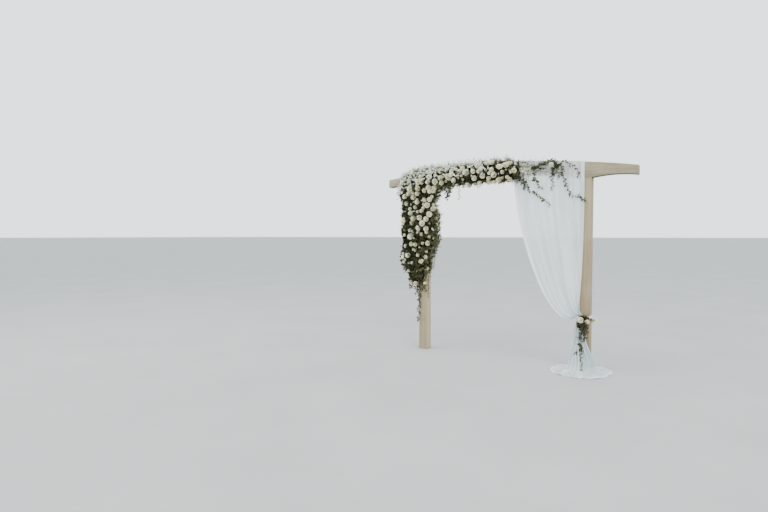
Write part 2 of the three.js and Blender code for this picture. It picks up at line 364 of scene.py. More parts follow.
drape = {
    "left": 1.276, "right": 2.103,
    "seat": 2.215, "backHem": 2.300,
    "beamMiddle": 1.06, "beamHalf": 1.607, "beamEndTop": 2.326, "beamRise": 0.131,
    "beamFace": 0.060, "clear": 0.003,
    "bendOut": 0.006, "bendIn": 0.003,  # the bend's radius, and how deep its middle lies in the beam's edge
    "folds": 11, "perFold": 19, "hem": 0.040,
    "curtainRows": 120, "skirtRows": 46, "poolRows": 44, "widthRow": 60,
    "tieFront": -0.087, "throatTop": 0.632, "throatLow": 0.588,
    "sweep": ((1.276, 2.215), (1.305, 1.935), (1.380, 1.580), (1.485, 1.240), (1.620, 0.915), (1.709, 0.762),
              (1.786, 0.664), (1.858, 0.600), (1.946, 0.572), (2.012, 0.585), (2.053, 0.632)),
    "straight": ((2.105, 2.215), (2.106, 1.865), (2.101, 1.500), (2.090, 1.160), (2.078, 0.930),
                 (2.070, 0.780), (2.073, 0.690), (2.103, 0.632)),
    # height, middle x and y, half widths in x and y, first and last angle, fold depth
    "skirt": (
        (0.588, 2.078, -0.087, 0.024, 0.001, 180, 360, 0.018),
        (0.535, 2.088, -0.092, 0.046, 0.014, 180, 360, 0.016),
        (0.450, 2.079, -0.097, 0.060, 0.024, 180, 360, 0.016),
        (0.332, 2.072, -0.102, 0.064, 0.036, 178, 362, 0.018),
        (0.211, 2.079, -0.094, 0.097, 0.068, 165, 375, 0.020),
        (0.116, 2.094, -0.082, 0.118, 0.099, 150, 392, 0.021),
        (0.040, 2.096, -0.078, 0.131, 0.128, 142, 402, 0.020),
    ),
    # the pool's start and end: middle x and y, half widths in x and y, first and last angle
    "poolRing": (2.097, -0.079, 0.142, 0.138, 142, 403),
    "poolEdge": (2.118, -0.190, 0.327, 0.358, 150, 427),
}


def smoothLine(points, count):
    # a smooth curve through the points, at even steps along it
    knots = np.array(points, float)
    ends = np.vstack([2 * knots[0] - knots[1], knots, 2 * knots[-1] - knots[-2]])
    fine = []
    for i in range(len(knots) - 1):
        a, b, c, d = ends[i:i + 4]
        for t in np.linspace(0, 1, 40, endpoint=False):
            fine.append(0.5 * (2 * b + (c - a) * t + (2 * a - 5 * b + 4 * c - d) * t ** 2
                               + (3 * b - a - 3 * c + d) * t ** 3))
    fine.append(knots[-1])
    fine = np.array(fine)
    along = np.concatenate([[0], np.cumsum(np.linalg.norm(np.diff(fine, axis=0), axis=1))])
    at = np.linspace(0, along[-1], count)
    return np.stack([np.interp(at, along, fine[:, k]) for k in range(knots.shape[1])], axis=1)


def noiseOf(px, py, pz):
    # smooth noise at each of the places that the arrays give together
    return np.array([noise.noise(Vector(spot)) for spot in np.broadcast(px, py, pz)])


def between(first, last, part):
    return first + (last - first) * part


def drapeRows():
    # rows of points from the back hem to the front hem, and how deep in a fold each point lies, which sets
    # the painted shade in the folds
    u = np.linspace(0, 1, drape["folds"] * drape["perFold"] + 1)
    wander = noiseOf(7.3 * u, 1.7, 0)
    uneven = noiseOf(19.0 * u, 5.1, 0)
    turns = 2 * np.pi * drape["folds"] * (u + 0.065 * wander)
    rows, fold_shades = [], []

    def wave(shift=0.0):
        # a broad fold with a finer one on it, from -1 at the back to 1 at the front
        return 0.76 * np.cos(turns + shift) + 0.24 * np.cos(3.3 * turns + 1.7 * shift + 2)

    def add(px, py, pz, hollow):
        rows.append(np.stack(np.broadcast_arrays(px, py, pz), axis=1))
        fold_shades.append(hollow)

    x = between(drape["left"], drape["right"], u)
    beyond = (x - drape["beamMiddle"]) / drape["beamHalf"]
    top = drape["beamEndTop"] + drape["beamRise"] * (1 - beyond ** 2)
    face = drape["beamFace"] + drape["clear"]
    proud = (1 + 0.55 * uneven) * (1 - wave())

    def over(y, z, outY, outZ, depth):
        # on the timber the folds stand out from it only, the way that outY and outZ say
        add(x, y + depth * proud * outY, z + depth * proud * outZ, 0.5 + 0.5 * wave())

    def bend(degrees, side, depth, more):
        c, s = math.cos(math.radians(degrees)), math.sin(math.radians(degrees))
        y = drape["beamFace"] - drape["bendIn"] + drape["bendOut"] * c
        over(side * y, top - drape["bendIn"] + drape["bendOut"] * s, side * c, s, depth + more * c)

    # behind the beam, over its top and down its front
    for part in np.linspace(0, 1, 8, endpoint=False):
        over(face, between(drape["backHem"], top, part), 1, 0, 0.0035 - 0.0015 * part)
    for degrees in np.linspace(0, 90, 4, endpoint=False):
        bend(degrees, 1, 0.002, 0)
    for y in np.linspace(1, -1, 8) * (drape["beamFace"] - 0.004):
        over(y, top + drape["clear"], 0, 1, 0.002)
    for degrees in np.linspace(90, 0, 5)[1:]:
        bend(degrees, -1, 0.002, 0.0008)
    for part in np.linspace(0.06, 1, 14, endpoint=False):
        over(-face, between(top, drape["seat"], part), -1, 0, 0.0028 + 0.0045 * part)

    # the curtain, from the beam to the tie: where it hangs free the folds are broad and soft, and some fade
    ripple = noiseOf(3.1 * u, 0.4, 8.8)
    calm = np.clip(0.62 + 1.3 * noiseOf(4.3 * u, 2.6, 1.1), 0.15, 1.4)
    rim = np.sqrt(np.clip(1 - (2 * u - 1) ** 2, 0, 1))
    edges = [smoothLine(drape[edge], drape["curtainRows"]) for edge in ("sweep", "straight")]
    for j, (swept, straight) in enumerate(zip(*edges)):
        fall = j / (drape["curtainRows"] - 1)
        gather = fall ** 6
        across = u * (1 - gather) + (1 - np.cos(np.pi * u)) / 2 * gather
        half = (0.0038 + 0.0042 * fall) * (1 - gather) + (0.004 + 0.016 * rim) * gather
        middle = -(face + 0.0085) * (1 - gather) + drape["tieFront"] * gather
        sway = 0.006 * ripple * math.sin(math.pi * min(1, fall * 1.1)) * (1 - gather)
        twist = noiseOf(13 * u, 2.2 * fall, 3)
        slow = 2 * np.pi * (6.5 * (u + 0.10 * wander) + 0.10 * twist)
        broad = calm * (0.72 * np.cos(slow + 1.2) + 0.28 * np.cos(2.3 * slow))
        tight = (1 + 0.45 * uneven * (1 - gather)) * wave(1.1 * twist * math.sin(math.pi * fall))
        free = math.sin(math.pi * fall) ** 0.7 * (1 - gather)
        back = tight * (1 - free) + 1.7 * broad * free
        add(between(swept[0], straight[0], across), middle - np.abs(sway) + half * back,
            between(swept[1], straight[1], across), 0.5 + 0.5 * back)

    # under the tie it flares round the post's foot
    stations = np.array(drape["skirt"]).T
    heights = np.concatenate([np.linspace(drape["throatTop"], drape["throatLow"], 4)[1:-1],
                              np.linspace(drape["throatLow"], stations[0, -1], drape["skirtRows"])])
    for z in heights:
        cx, cy, rx, ry, first, last, depth = [np.interp(-z, -stations[0], row) for row in stations[1:]]
        angle = np.radians(between(first, last, u))
        flat = min(1, ry / 0.03)
        out = np.stack([np.cos(angle) * flat, np.sin(angle) * flat - (1 - flat)])
        out /= np.linalg.norm(out, axis=0)
        inward = wave(1.4 * noiseOf(9 * u, 4 * z, 6.5))
        reach = depth * (0.35 + 0.65 * rim if z > 0.45 else 1) * (1 + 0.4 * uneven) * inward * out
        add(cx + rx * np.cos(angle) - reach[0], cy + ry * np.sin(angle) - reach[1], z, 0.5 + 0.5 * inward)

    # then it turns out over the ground and ends in an uneven oval
    ring, pool = np.array(drape["poolRing"]), np.array(drape["poolEdge"])
    ridge = noiseOf(4.7 * u, 12.3, 0)
    tall = np.clip(0.55 + 1.5 * noiseOf(8.0 * u, 3.3, 7), 0.12, 1.4)
    for part in np.linspace(0, 1, drape["poolRows"]):
        spread = part ** 0.9
        angle = np.radians(between(*between(ring[4:], pool[4:], part), u))
        lobes, notches = (noiseOf(np.cos(angle) * pace, np.sin(angle) * pace, z)
                          for pace, z in ((2.4, 2), (7, 9)))
        edge = 0.97 + 0.06 * np.abs(np.sin(2 * (angle + 0.3))) + 0.04 * lobes + 0.022 * notches
        cx, cy = between(ring[:2], pool[:2], spread)
        rx, ry = (between(ring[k], pool[k] * edge, spread) for k in (2, 3))
        # the folds wander as they spread, and the skirt's folds run on into them
        swing = angle + np.radians(7) * ridge * math.sin(math.pi * part)
        on = 1 - min(1, part * 5)
        px, py = cx + rx * np.cos(swing) - on * reach[0], cy + ry * np.sin(swing) - on * reach[1]
        crease = np.maximum(0, noiseOf(8 * px, 8 * py, 4))
        small = np.maximum(0, noiseOf(21 * px, 21 * py, 1))
        falling = (1 - part) ** 0.7
        folds = (1 - wave(0.3 * part)) / 2
        height = (0.008 + 0.040 * falling * tall) * folds ** 2.2
        height = height + 0.030 * crease * (0.5 + 0.5 * falling) + 0.014 * small
        rise = math.sin(math.pi / 2 * min(1, part / 0.22))
        rise = rise * (0.3 + 0.7 * np.clip(np.minimum(u, 1 - u) / 0.05, 0, 1))
        height = 0.037 * (1 - min(1, part * 7)) ** 2 + 0.003 + rise * height
        if part > 0.97:
            height = height * 0.6 + 0.001
        add(px, py, height, 1 - folds ** 1.3 - 1.2 * crease)
    return u, np.array(rows), np.array(fold_shades)


def sheerCloth(graph):
    threads = graph.node("ShaderNodeUVMap", {"uv_map": "cloth"})
    slubs = graph.noise(graph.stretched(threads, (180, 6, 1)), 1.0, 3, 0.6)
    # where the folds lie over each other it is whiter, and runs along the cloth
    overlap = graph.noise(graph.stretched(threads, (17, 0.9, 1)), 1.0, 3, 0.55)
    weave, weft = (graph.node("ShaderNodeTexWave", {"bands_direction": way},
                              {"Vector": threads, "Scale": 320.0}) for way in ("X", "Y"))
    hem, single, hollow = (graph.attribute(name) for name in ("hem", "single", "hollow"))
    # painted shade: deep in the folds the cloth is darker and greyer, and a little more see-through
    shade = overlap * 0.80 + slubs * 0.20 - hollow * 0.10
    colour = graph.ramp(shade, (0.34, (0.560, 0.645, 0.665)), (0.58, (0.835, 0.880, 0.885)))
    # the hem is whiter where the cloth is doubled; over the timber the single layer is painted lighter, as
    # painted light
    colour = graph.mix((hem * 0.6 + single * 0.6).clamped(), colour, (0.91, 0.935, 0.93))
    colour = graph.mix(hollow * 0.35, colour, (0.62, 0.69, 0.70))
    alpha = (slubs * 0.06 + 0.94 + hem * 0.2 - single * 0.10 - hollow * 0.06).clamped()
    bump = weave * 0.5 + weft * 0.5 + slubs * 0.8 + hem * 1.5
    front = principled(graph, colour, 0.85, bump, 0.12, 0.0006, Alpha=alpha, Sheen_Weight=0.15)
    lit = graph.mixShaders(alpha, graph.node("ShaderNodeBsdfTransparent"), graph.translucent(colour))
    return graph.mixShaders(0.42, front, lit)


clothMaterial = surface("sheer_cloth", sheerCloth)


def makeDrape():
    u, grid, fold_shades = drapeRows()
    down, columns = grid.shape[:2]
    points = grid.reshape(-1, 3)
    faces = [(j * columns + i, (j + 1) * columns + i, (j + 1) * columns + i + 1, j * columns + i + 1)
             for j in range(down - 1) for i in range(columns - 1)]
    mesh = meshOf("drape", points, faces, clothMaterial)
    along = np.concatenate([[0], np.cumsum(np.linalg.norm(np.diff(grid, axis=0), axis=2).mean(1))])
    width = round(float(np.linalg.norm(np.diff(grid[drape["widthRow"]], axis=0), axis=1).sum()), 2)
    corner = np.zeros(len(mesh.loops), np.int64)
    mesh.loops.foreach_get("vertex_index", corner)
    flat = np.stack([np.tile(u * width, down), np.repeat(along, columns)], axis=1)
    mesh.uv_layers.new(name="cloth").data.foreach_set("uv", flat[corner].ravel())
    toHem = np.minimum(flat, (width, along[-1]) - flat).min(1)
    setAttribute(mesh, "hem", np.clip((drape["hem"] - toHem) / 0.004, 0, 1))
    # how deep in a fold each point lies, for the painted shade in the folds
    setAttribute(mesh, "hollow", np.clip(fold_shades, 0, 1))
    # the cloth is one layer over the timber and lies in overlapping folds elsewhere; over the timber it is
    # more see-through and painted lighter, as painted light for the light that shines through the folds
    # elsewhere
    setAttribute(mesh, "single", np.clip((points[:, 2] - drape["seat"] + 0.05) / 0.08, 0, 1))
    area = sum(p.area for p in mesh.polygons)
    print("drape", down, "rows", width, "m wide", round(along[-1], 3), "m long, area", round(area, 3))
    made = addObject("drape", mesh)
    addPiece(made, "cloth", "drape_header", "drape_curtain", "drape_skirt", "drape_pool")


makeDrape()
print("drape ready")

# flowers and leaves that the garland, the vine and the posy share

leafLook = {
    "dark": (0.0052, 0.0056, 0.0021),
    "middle": (0.041, 0.045, 0.0165),
    "pale": (0.250, 0.255, 0.138),
    "stem": (0.120, 0.100, 0.050),
}

roseLook = {
    "heart": (0.66, 0.56, 0.26),
    "petal": (0.92, 0.89, 0.68),
    "edge": (0.97, 0.96, 0.83),
    "peach": (0.85, 0.68, 0.50),
    "green": (0.60, 0.62, 0.30),
}


def leafPaint(strength):
    # each leaf and each clump has its own tone, the midrib is paler, stems are brown; below 1 the strength
    # darkens them all as painted shade
    dark, middle, pale, stem = ([c * strength for c in tone] for tone in leafLook.values())

    def build(graph):
        tone = graph.attribute("tone") * 0.62 + graph.attribute("clump") * 0.38
        colour = graph.ramp(tone, (0.16, dark), (0.52, middle), (0.95, pale))
        spots = graph.objectPlace()
        blotch = graph.noise(spots, 90.0, 3)
        rib = graph.attribute("rib")
        colour = graph.mix((blotch > 0.6) * 0.25, colour, dark)
        colour = graph.mix(rib * 0.3, colour, pale)
        colour = graph.mix(graph.attribute("bark"), colour, stem)
        bump = graph.noise(spots, 260.0, 2) + rib
        return principled(graph, colour, blotch * 0.25 + 0.50, bump, 0.25, 0.0012, Specular_IOR_Level=0.08)
    return build


def rosePaint(graph):
    # warm in the heart, paler towards the lips of the petals
    lip, clump = graph.attribute("lip"), graph.attribute("clump")
    spots = graph.objectPlace()
    mottle = graph.noise(spots, 70.0, 3)
    shade = (lip * 0.85 + mottle * 0.3 - clump * 0.2).clamped()
    colour = graph.ramp(shade, (0.10, roseLook["heart"]), (0.45, roseLook["petal"]), (0.85, roseLook["edge"]))
    colour = graph.mix((clump > 0.93) * 0.28, colour, roseLook["peach"])
    colour = graph.mix((0.10 - clump > 0) * 0.32, colour, roseLook["green"])
    petal = principled(graph, colour, 0.62, graph.noise(spots, 320.0, 2), 0.12, 0.001, Sheen_Weight=0.12)
    return graph.mixShaders(0.28, petal, graph.translucent(colour))


def fillerPaint(low, high):
    def build(graph):
        mottle = graph.noise(graph.objectPlace(), 120.0, 2)
        colour = graph.ramp(graph.attribute("tone") * 0.8 + mottle * 0.25, (0.2, low), (0.8, high))
        colour = graph.mix(graph.attribute("bark"), colour, leafLook["middle"])
        return principled(graph, colour, 0.8, mottle, 0.3, 0.001)
    return build


def shadeCorePaint(graph):
    # painted shade: a near-black sheet inside the garland and the posy, where there is only shade between the
    # leaves
    shadeMottle = graph.noise(graph.objectPlace(), 45.0, 5, 0.7)
    colour = graph.ramp(shadeMottle, (0.38, (0.003, 0.003, 0.0015)), (0.66, (0.020, 0.021, 0.008)))
    return principled(graph, colour, 0.9, shadeMottle, 0.9, 0.012, Specular_IOR_Level=0.0)


leafMaterial = surface("leaf_green", leafPaint(1.0))
# the same leaves at half brightness, as painted shade for the leaves deep in the garland and the posy
shadedLeafMaterial = surface("leaf_shaded", leafPaint(0.5))
roseMaterial = surface("cream_petal", rosePaint)
wispMaterial = surface("pale_filler", fillerPaint((0.52, 0.55, 0.44), (0.90, 0.93, 0.87)))
beigeMaterial = surface("beige_filler", fillerPaint((0.42, 0.40, 0.29), (0.74, 0.71, 0.58)))
shadeCoreMaterial = surface("garland_heart", shadeCorePaint)


class Shape:
    # gathers the points, faces and point values of one small shape
    def __init__(self):
        self.points, self.faces, self.values = [], [], {}

    def add(self, points, faces, **values):
        start = len(self.points)
        self.points += [Vector(p) for p in points]
        self.faces += [[start + i for i in face] for face in faces]
        for name in set(self.values) | set(values):
            row = self.values.setdefault(name, [0.0] * start)
            given = values.get(name, 0.0)
            row += list(given) if hasattr(given, "__len__") else [given] * len(points)

    def mesh(self, name):
        made = meshOf(name, self.points, self.faces)
        for valueName, row in self.values.items():
            setAttribute(made, valueName, row)
        return made


def addLeaf(shape, root, along, side, length, width, fold, droop, tone):
    # a folded leaf with a pointed tip: six faces
    along, side = along.normalized(), side.normalized()
    face = along.cross(side).normalized()
    points, rib = [root], [1.0]
    for t, wide in ((0.30, 0.92), (0.66, 0.78)):
        middle = root + along * length * t - face * droop * length * t * t
        lift = face * width * 0.5 * wide * fold
        out = side * width * 0.5 * wide
        points += [middle - out + lift, middle, middle + out + lift]
        rib += [0.0, 1.0, 0.0]
    points.append(root + along * length - face * droop * length)
    rib.append(0.6)
    faces = [(0, 2, 1), (0, 3, 2), (1, 2, 5, 4), (2, 3, 6, 5), (4, 5, 7), (5, 6, 7)]
    shape.add(points, faces, tone=tone, rib=rib)


def addTwig(shape, line, thick):
    # a three-sided stem along a few points, thinner at its tip
    points, faces = [], []
    for i, spot in enumerate(line):
        ahead = (line[min(i + 1, len(line) - 1)] - line[max(i - 1, 0)]).normalized()
        side = ahead.orthogonal().normalized()
        up = ahead.cross(side)
        size = thick * (1 - 0.6 * i / (len(line) - 1))
        for k in range(3):
            turn = 2 * math.pi * k / 3
            points.append(spot + (side * math.cos(turn) + up * math.sin(turn)) * size)
        if i:
            for k in range(3):
                a, b = (i - 1) * 3 + k, (i - 1) * 3 + (k + 1) % 3
                faces.append((a, b, b + 3, a + 3))
    last = 3 * (len(line) - 1)
    faces += [(2, 1, 0), (last, last + 1, last + 2)]
    shape.add(points, faces, bark=1.0)


def leafSprig(name, seed, length, leaves, leafLength, leafWidth, spread, tone):
    # a short stem with leaves on alternate sides, rooted at the origin and growing up +Z
    draw = random.Random(seed)
    shape = Shape()
    bend = Vector((draw.uniform(-0.3, 0.3), draw.uniform(-0.3, 0.3), 0)) * length
    addTwig(shape, [Vector((0, 0, length * t)) + bend * t * t for t in (0, 0.5, 1)], 0.0016)
    for i in range(leaves):
        t = 0.12 + 0.88 * i / (leaves - 1)
        turn = i * 2.4 + draw.uniform(-0.5, 0.5)
        root = Vector((0, 0, length * t)) + bend * t * t
        out = Vector((math.cos(turn), math.sin(turn), 0))
        lean = spread * draw.uniform(0.75, 1.2) * (1 - 0.55 * t)
        along = out * math.sin(lean) + Vector((0, 0, 1)) * math.cos(lean)
        side = Vector((-math.sin(turn), math.cos(turn), 0)) + Vector((0, 0, draw.uniform(-0.3, 0.3)))
        size = draw.uniform(0.75, 1.15) * (1 - 0.25 * t)
        addLeaf(shape, root, along, side, leafLength * size, leafWidth * size,
                draw.uniform(0.15, 0.5), draw.uniform(0.0, 0.35), tone + draw.uniform(-0.22, 0.22))
    return shape.mesh(name)


def oneLeaf(name, seed, length, width, tone):
    draw = random.Random(seed)
    shape = Shape()
    addTwig(shape, [Vector(), Vector((0, 0, length * 0.16)), Vector((0, 0, length * 0.3))], 0.0011)
    addLeaf(shape, Vector((0, 0, length * 0.18)), Vector((0, 0, 1)), Vector((1, 0, 0)), length, width, 0.3,
            draw.uniform(0.1, 0.4), tone)
    return shape.mesh(name)


def fillerWisp(name, seed, length, heads, size):
    # a thin stem with small pale heads round it
    draw = random.Random(seed)
    shape = Shape()
    tip = Vector((draw.uniform(-0.2, 0.2), draw.uniform(-0.2, 0.2), 1)) * length
    addTwig(shape, [Vector(), tip * 0.5 + Vector((0.004, 0, 0)), tip], 0.0011)
    for i in range(heads):
        t = 0.3 + 0.7 * i / (heads - 1)
        turn = i * 2.4 + draw.uniform(-0.6, 0.6)
        away = Vector((math.cos(turn), math.sin(turn), draw.uniform(-0.2, 0.6)))
        spot = tip * t + away * length * 0.17 * (1.25 - t)
        r = size * draw.uniform(0.7, 1.3)
        up = Vector((draw.uniform(-0.4, 0.4), draw.uniform(-0.4, 0.4), 1)).normalized()
        side = up.orthogonal().normalized()
        other = up.cross(side)
        rim = [spot + (side * math.cos(a) + other * math.sin(a)) * r * 0.85 for a in (0, 1.57, 3.14, 4.71)]
        shape.add([*rim, spot + up * r, spot - up * r * 0.7],
                  [(0, 1, 4), (1, 2, 4), (2, 3, 4), (3, 0, 4), (1, 0, 5), (2, 1, 5), (3, 2, 5), (0, 3, 5)],
                  tone=draw.uniform(0.2, 1.0))
    return shape.mesh(name)


# petals, base radius, lip radius, lip height, half angle, how far the lip curls out, steps up the petal
roseRings = (
    (3, 0.06, 0.150, 0.57, 80, -0.02, 2),
    (4, 0.08, 0.235, 0.54, 62, 0.01, 2),
    (5, 0.10, 0.345, 0.45, 52, 0.04, 3),
    (5, 0.12, 0.455, 0.30, 48, 0.07, 3),
)


def flowerMesh(name, seed, rings, openness, across=4, sides=7):
    # a rose one unit across that faces +Z: a rolled heart inside rings of cupped petals
    draw = random.Random(seed)
    shape = Shape()
    points, faces = [], []
    for low, (r, h) in zip((0, sides, 2 * sides), ((0.06, 0.10), (0.12, 0.42), (0.085, 0.550))):
        for k in range(sides):
            turn = 2 * math.pi * k / sides + h
            points.append(Vector((r * math.cos(turn), r * math.sin(turn), h)))
            edge = (low + k, low + (k + 1) % sides)
            above = (3 * sides,) if low == 2 * sides else (edge[1] + sides, edge[0] + sides)
            faces.append(edge + above)
    points.append(Vector((0.01, 0, 0.53)))
    shape.add(points, faces, lip=[0.0] * sides + [0.1] * sides + [0.35] * sides + [0.0])
    start = draw.uniform(0, 6.28)
    for ring, (petals, base, lipRadius, lipHeight, half, curl, steps) in enumerate(rings):
        for n in range(petals):
            middle = start + 2 * math.pi * n / petals + ring * 0.55 + draw.uniform(-0.12, 0.12)
            wide = math.radians(half) * draw.uniform(0.92, 1.1)
            radius = lipRadius * (1 + (openness - 1) * ring / 3) * draw.uniform(0.93, 1.06)
            height = lipHeight * draw.uniform(0.92, 1.06)
            points, lips = [], []
            for j in range(steps + 1):
                t = j / steps
                for i in range(across):
                    s = 2 * i / (across - 1) - 1
                    turn = middle + s * wide * (0.55 + 0.45 * math.sin(t * math.pi * 0.62))
                    r = base + (radius - base) * math.sin(t * math.pi / 2) ** 0.9
                    r += curl * max(0, t - 0.6) + 0.018 * s
                    z = height * t ** 1.15 * (1 - 0.20 * s * s * t) - abs(curl) * 1.3 * max(0, t - 0.7)
                    points.append(Vector((r * math.cos(turn), r * math.sin(turn), z + 0.02)))
                    lips.append(0.15 + 0.85 * t ** 1.5 * (0.55 + 0.15 * ring))
            faces = [(j * across + i, j * across + i + 1, (j + 1) * across + i + 1, (j + 1) * across + i)
                     for j in range(steps) for i in range(across - 1)]
            shape.add(points, faces, lip=lips)
    return shape.mesh(name)


def kitOf(name, make, rows):
    # a collection of small meshes, each made from its row: its name, its seed and what its maker asks for
    group = bpy.data.collections.new(name + "_kit")
    for row in rows:
        mesh = make(*row)
        group.objects.link(bpy.data.objects.new(mesh.name, mesh))
    return group


budRings = ((3, 0.05, 0.24, 0.50, 62, 0.0, 2), (5, 0.08, 0.46, 0.30, 44, 0.08, 2))

kits = {name: kitOf(name, make, rows) for name, make, rows in (
    ("sprig", leafSprig, (
        ("sprig_pointed", 3, 0.075, 7, 0.042, 0.017, 1.1, 0.24),
        ("sprig_narrow", 5, 0.090, 8, 0.046, 0.011, 0.9, 0.38),
        ("sprig_dark", 13, 0.065, 7, 0.045, 0.020, 1.3, 0.04),
        ("sprig_round", 8, 0.070, 7, 0.030, 0.022, 1.2, 0.52),
        ("sprig_broad", 17, 0.060, 6, 0.050, 0.026, 1.2, 0.12))),
    ("dark", leafSprig, (
        ("vine_dark", 23, 0.040, 7, 0.034, 0.022, 1.3, 0.06),
        ("vine_green", 29, 0.045, 7, 0.034, 0.020, 1.3, 0.18),
        ("vine_olive", 31, 0.040, 6, 0.030, 0.020, 1.3, 0.32))),
    ("deep", leafSprig, (
        ("deep_wide", 61, 0.020, 4, 0.036, 0.026, 1.5, 0.0),
        ("deep_narrow", 67, 0.018, 3, 0.033, 0.021, 1.4, 0.05),
        ("deep_small", 71, 0.016, 2, 0.030, 0.022, 1.4, 0.16))),
    ("cluster", leafSprig, (
        ("cluster_dark", 43, 0.020, 4, 0.036, 0.026, 1.5, 0.04),
        ("cluster_green", 47, 0.022, 3, 0.036, 0.025, 1.4, 0.16),
        ("cluster_olive", 53, 0.020, 4, 0.032, 0.022, 1.4, 0.34),
        ("cluster_small", 59, 0.016, 2, 0.030, 0.022, 1.4, 0.10))),
    ("pale", leafSprig, (
        ("pale_leaves", 37, 0.060, 7, 0.036, 0.020, 1.2, 0.86),
        ("pale_olive", 41, 0.055, 7, 0.032, 0.015, 1.1, 0.70))),
    ("leaf", oneLeaf, (
        ("leaf_long", 2, 0.034, 0.015, 0.30), ("leaf_round", 3, 0.026, 0.018, 0.42),
        ("leaf_dark", 5, 0.030, 0.016, 0.12))),
    ("olive", oneLeaf, (("olive_long", 7, 0.032, 0.010, 0.72), ("olive_short", 9, 0.024, 0.012, 0.60))),
    ("wisp", fillerWisp, (("wisp_fine", 21, 0.110, 12, 0.0068), ("wisp_full", 34, 0.085, 14, 0.0085))),
    ("rose", flowerMesh, (
        ("rose_full", 1, roseRings, 1.0), ("rose_open", 2, roseRings, 1.08),
        ("rose_cupped", 4, roseRings, 0.88), ("rose_loose", 7, roseRings, 1.02))),
    ("bud", flowerMesh, (("bud_small", 11, budRings, 1.0, 3, 5), ("bud_wide", 12, budRings, 1.1, 3, 5))),
)}


# Geometry Nodes trees

class Growth(Graph):
    # a tree with a geometry in, named inputs and a geometry out
    kinds = {"Geometry": "Geometry", "Kit": "Collection", "Flowers": "Object",
             "Paint": "Material", "Seed": "Int"}  # any other input is a number

    def __init__(self, name, *inputs):
        super().__init__(bpy.data.node_groups.new(name, "GeometryNodeTree"))
        face = self.tree.interface
        face.new_socket("Geometry", in_out="OUTPUT", socket_type="NodeSocketGeometry")
        for socketName in ("Geometry", "Kit", "Paint", "Seed", *inputs):
            kind = self.kinds.get(socketName, "Float")
            face.new_socket(socketName, in_out="INPUT", socket_type="NodeSocket" + kind)
        entry = self.tree.nodes.new("NodeGroupInput")
        self.input = {s.name: Wire(self, s) for s in entry.outputs if s.name}

    def random(self, low, high, more):
        sockets = {2: low, 3: high, "Seed": self.input["Seed"] + more}
        return self.node("FunctionNodeRandomValue", {"data_type": "FLOAT"}, sockets, 1)

    def named(self, name, kind="FLOAT"):
        return self.node("GeometryNodeInputNamedAttribute", {"data_type": kind}, {"Name": name})

    def turned(self, rotation, lean, more):
        # leans a rotation over, after a random spin
        tilt = self.node("ShaderNodeCombineXYZ", {}, {0: lean, 2: self.random(0.0, 6.283, more)})
        local = self.node("FunctionNodeEulerToRotation", {}, {0: tilt})
        return self.node("FunctionNodeRotateRotation", {"rotation_space": "LOCAL"}, {0: rotation, 1: local})

    def stored(self, shape, name, value, domain):
        return self.node("GeometryNodeStoreNamedAttribute", {"data_type": "FLOAT", "domain": domain},
                         {"Geometry": shape, "Name": name, "Value": value})

    def scattered(self, points, rotation, scale, selection=True):
        pieces = self.node("GeometryNodeCollectionInfo", {}, {0: self.input["Kit"], 1: True, 2: True})
        which = self.node("FunctionNodeRandomValue", {"data_type": "INT"},
                          {4: 0, 5: 11, "Seed": self.input["Seed"] + 9}, 2)
        made = self.node("GeometryNodeInstanceOnPoints", {}, {
            "Points": points, "Selection": selection, "Instance": pieces, "Pick Instance": True,
            "Instance Index": which, "Rotation": rotation, "Scale": scale})
        made = self.stored(made, "clump", self.random(0.0, 1.0, 8), "INSTANCE")
        return self.node("GeometryNodeRealizeInstances", {}, {0: made})

    def close(self, shape):
        inputs = {"Geometry": shape, "Material": self.input["Paint"]}
        painted = self.node("GeometryNodeSetMaterial", {}, inputs)
        end = self.tree.nodes.new("NodeGroupOutput")
        self.tree.links.new(painted.socket, end.inputs[0])
        return self.tree


def coverTree():
    # sprigs over a surface, kept clear of the flowers, thinned by the surface's own cover value
    tree = Growth("cover_with_sprigs", "Flowers", "Density", "Clearance", "Smallest", "Largest",
                  "Upright", "Flat")
    given = tree.input
    spread = tree.node("GeometryNodeDistributePointsOnFaces", {}, {
        "Mesh": given["Geometry"], "Density": given["Density"] * tree.named("cover"), "Seed": given["Seed"]})
    seats = tree.node("GeometryNodeObjectInfo", {"transform_space": "RELATIVE"}, {0: given["Flowers"]}, 4)
    away = tree.node("GeometryNodeProximity", {"target_element": "POINTS"}, {0: seats}, 1)
    nearest = tree.node("GeometryNodeSampleNearest", {"domain": "POINT"}, {0: seats})
    wide = tree.node("GeometryNodeSampleIndex", {"data_type": "FLOAT", "domain": "POINT"},
                     {0: seats, 1: tree.named("wide"), "Index": nearest})
    lean = tree.random(given["Upright"], given["Flat"], 1)
    size = tree.random(given["Smallest"], given["Largest"], 3)
    clear = away > wide * 0.5 + given["Clearance"]
    return tree.close(tree.scattered(spread, tree.turned(spread.beside("Rotation"), lean, 2), size, clear))


def flowersTree():
    # one flower on each point, facing the way the point says, as wide as it says
    tree = Growth("set_flowers")
    facing = tree.named("facing", "FLOAT_VECTOR")
    rotation = tree.node("FunctionNodeAlignRotationToVector", {"axis": "Z"}, {"Vector": facing})
    wide = tree.named("wide")
    uneven = {0: wide * tree.random(0.88, 1.07, 3), 1: wide * tree.random(0.88, 1.07, 4), 2: wide}
    size = tree.node("ShaderNodeCombineXYZ", {}, uneven)
    turned = tree.turned(rotation, tree.random(0.0, 0.30, 1), 2)
    return tree.close(tree.scattered(tree.input["Geometry"], turned, size))


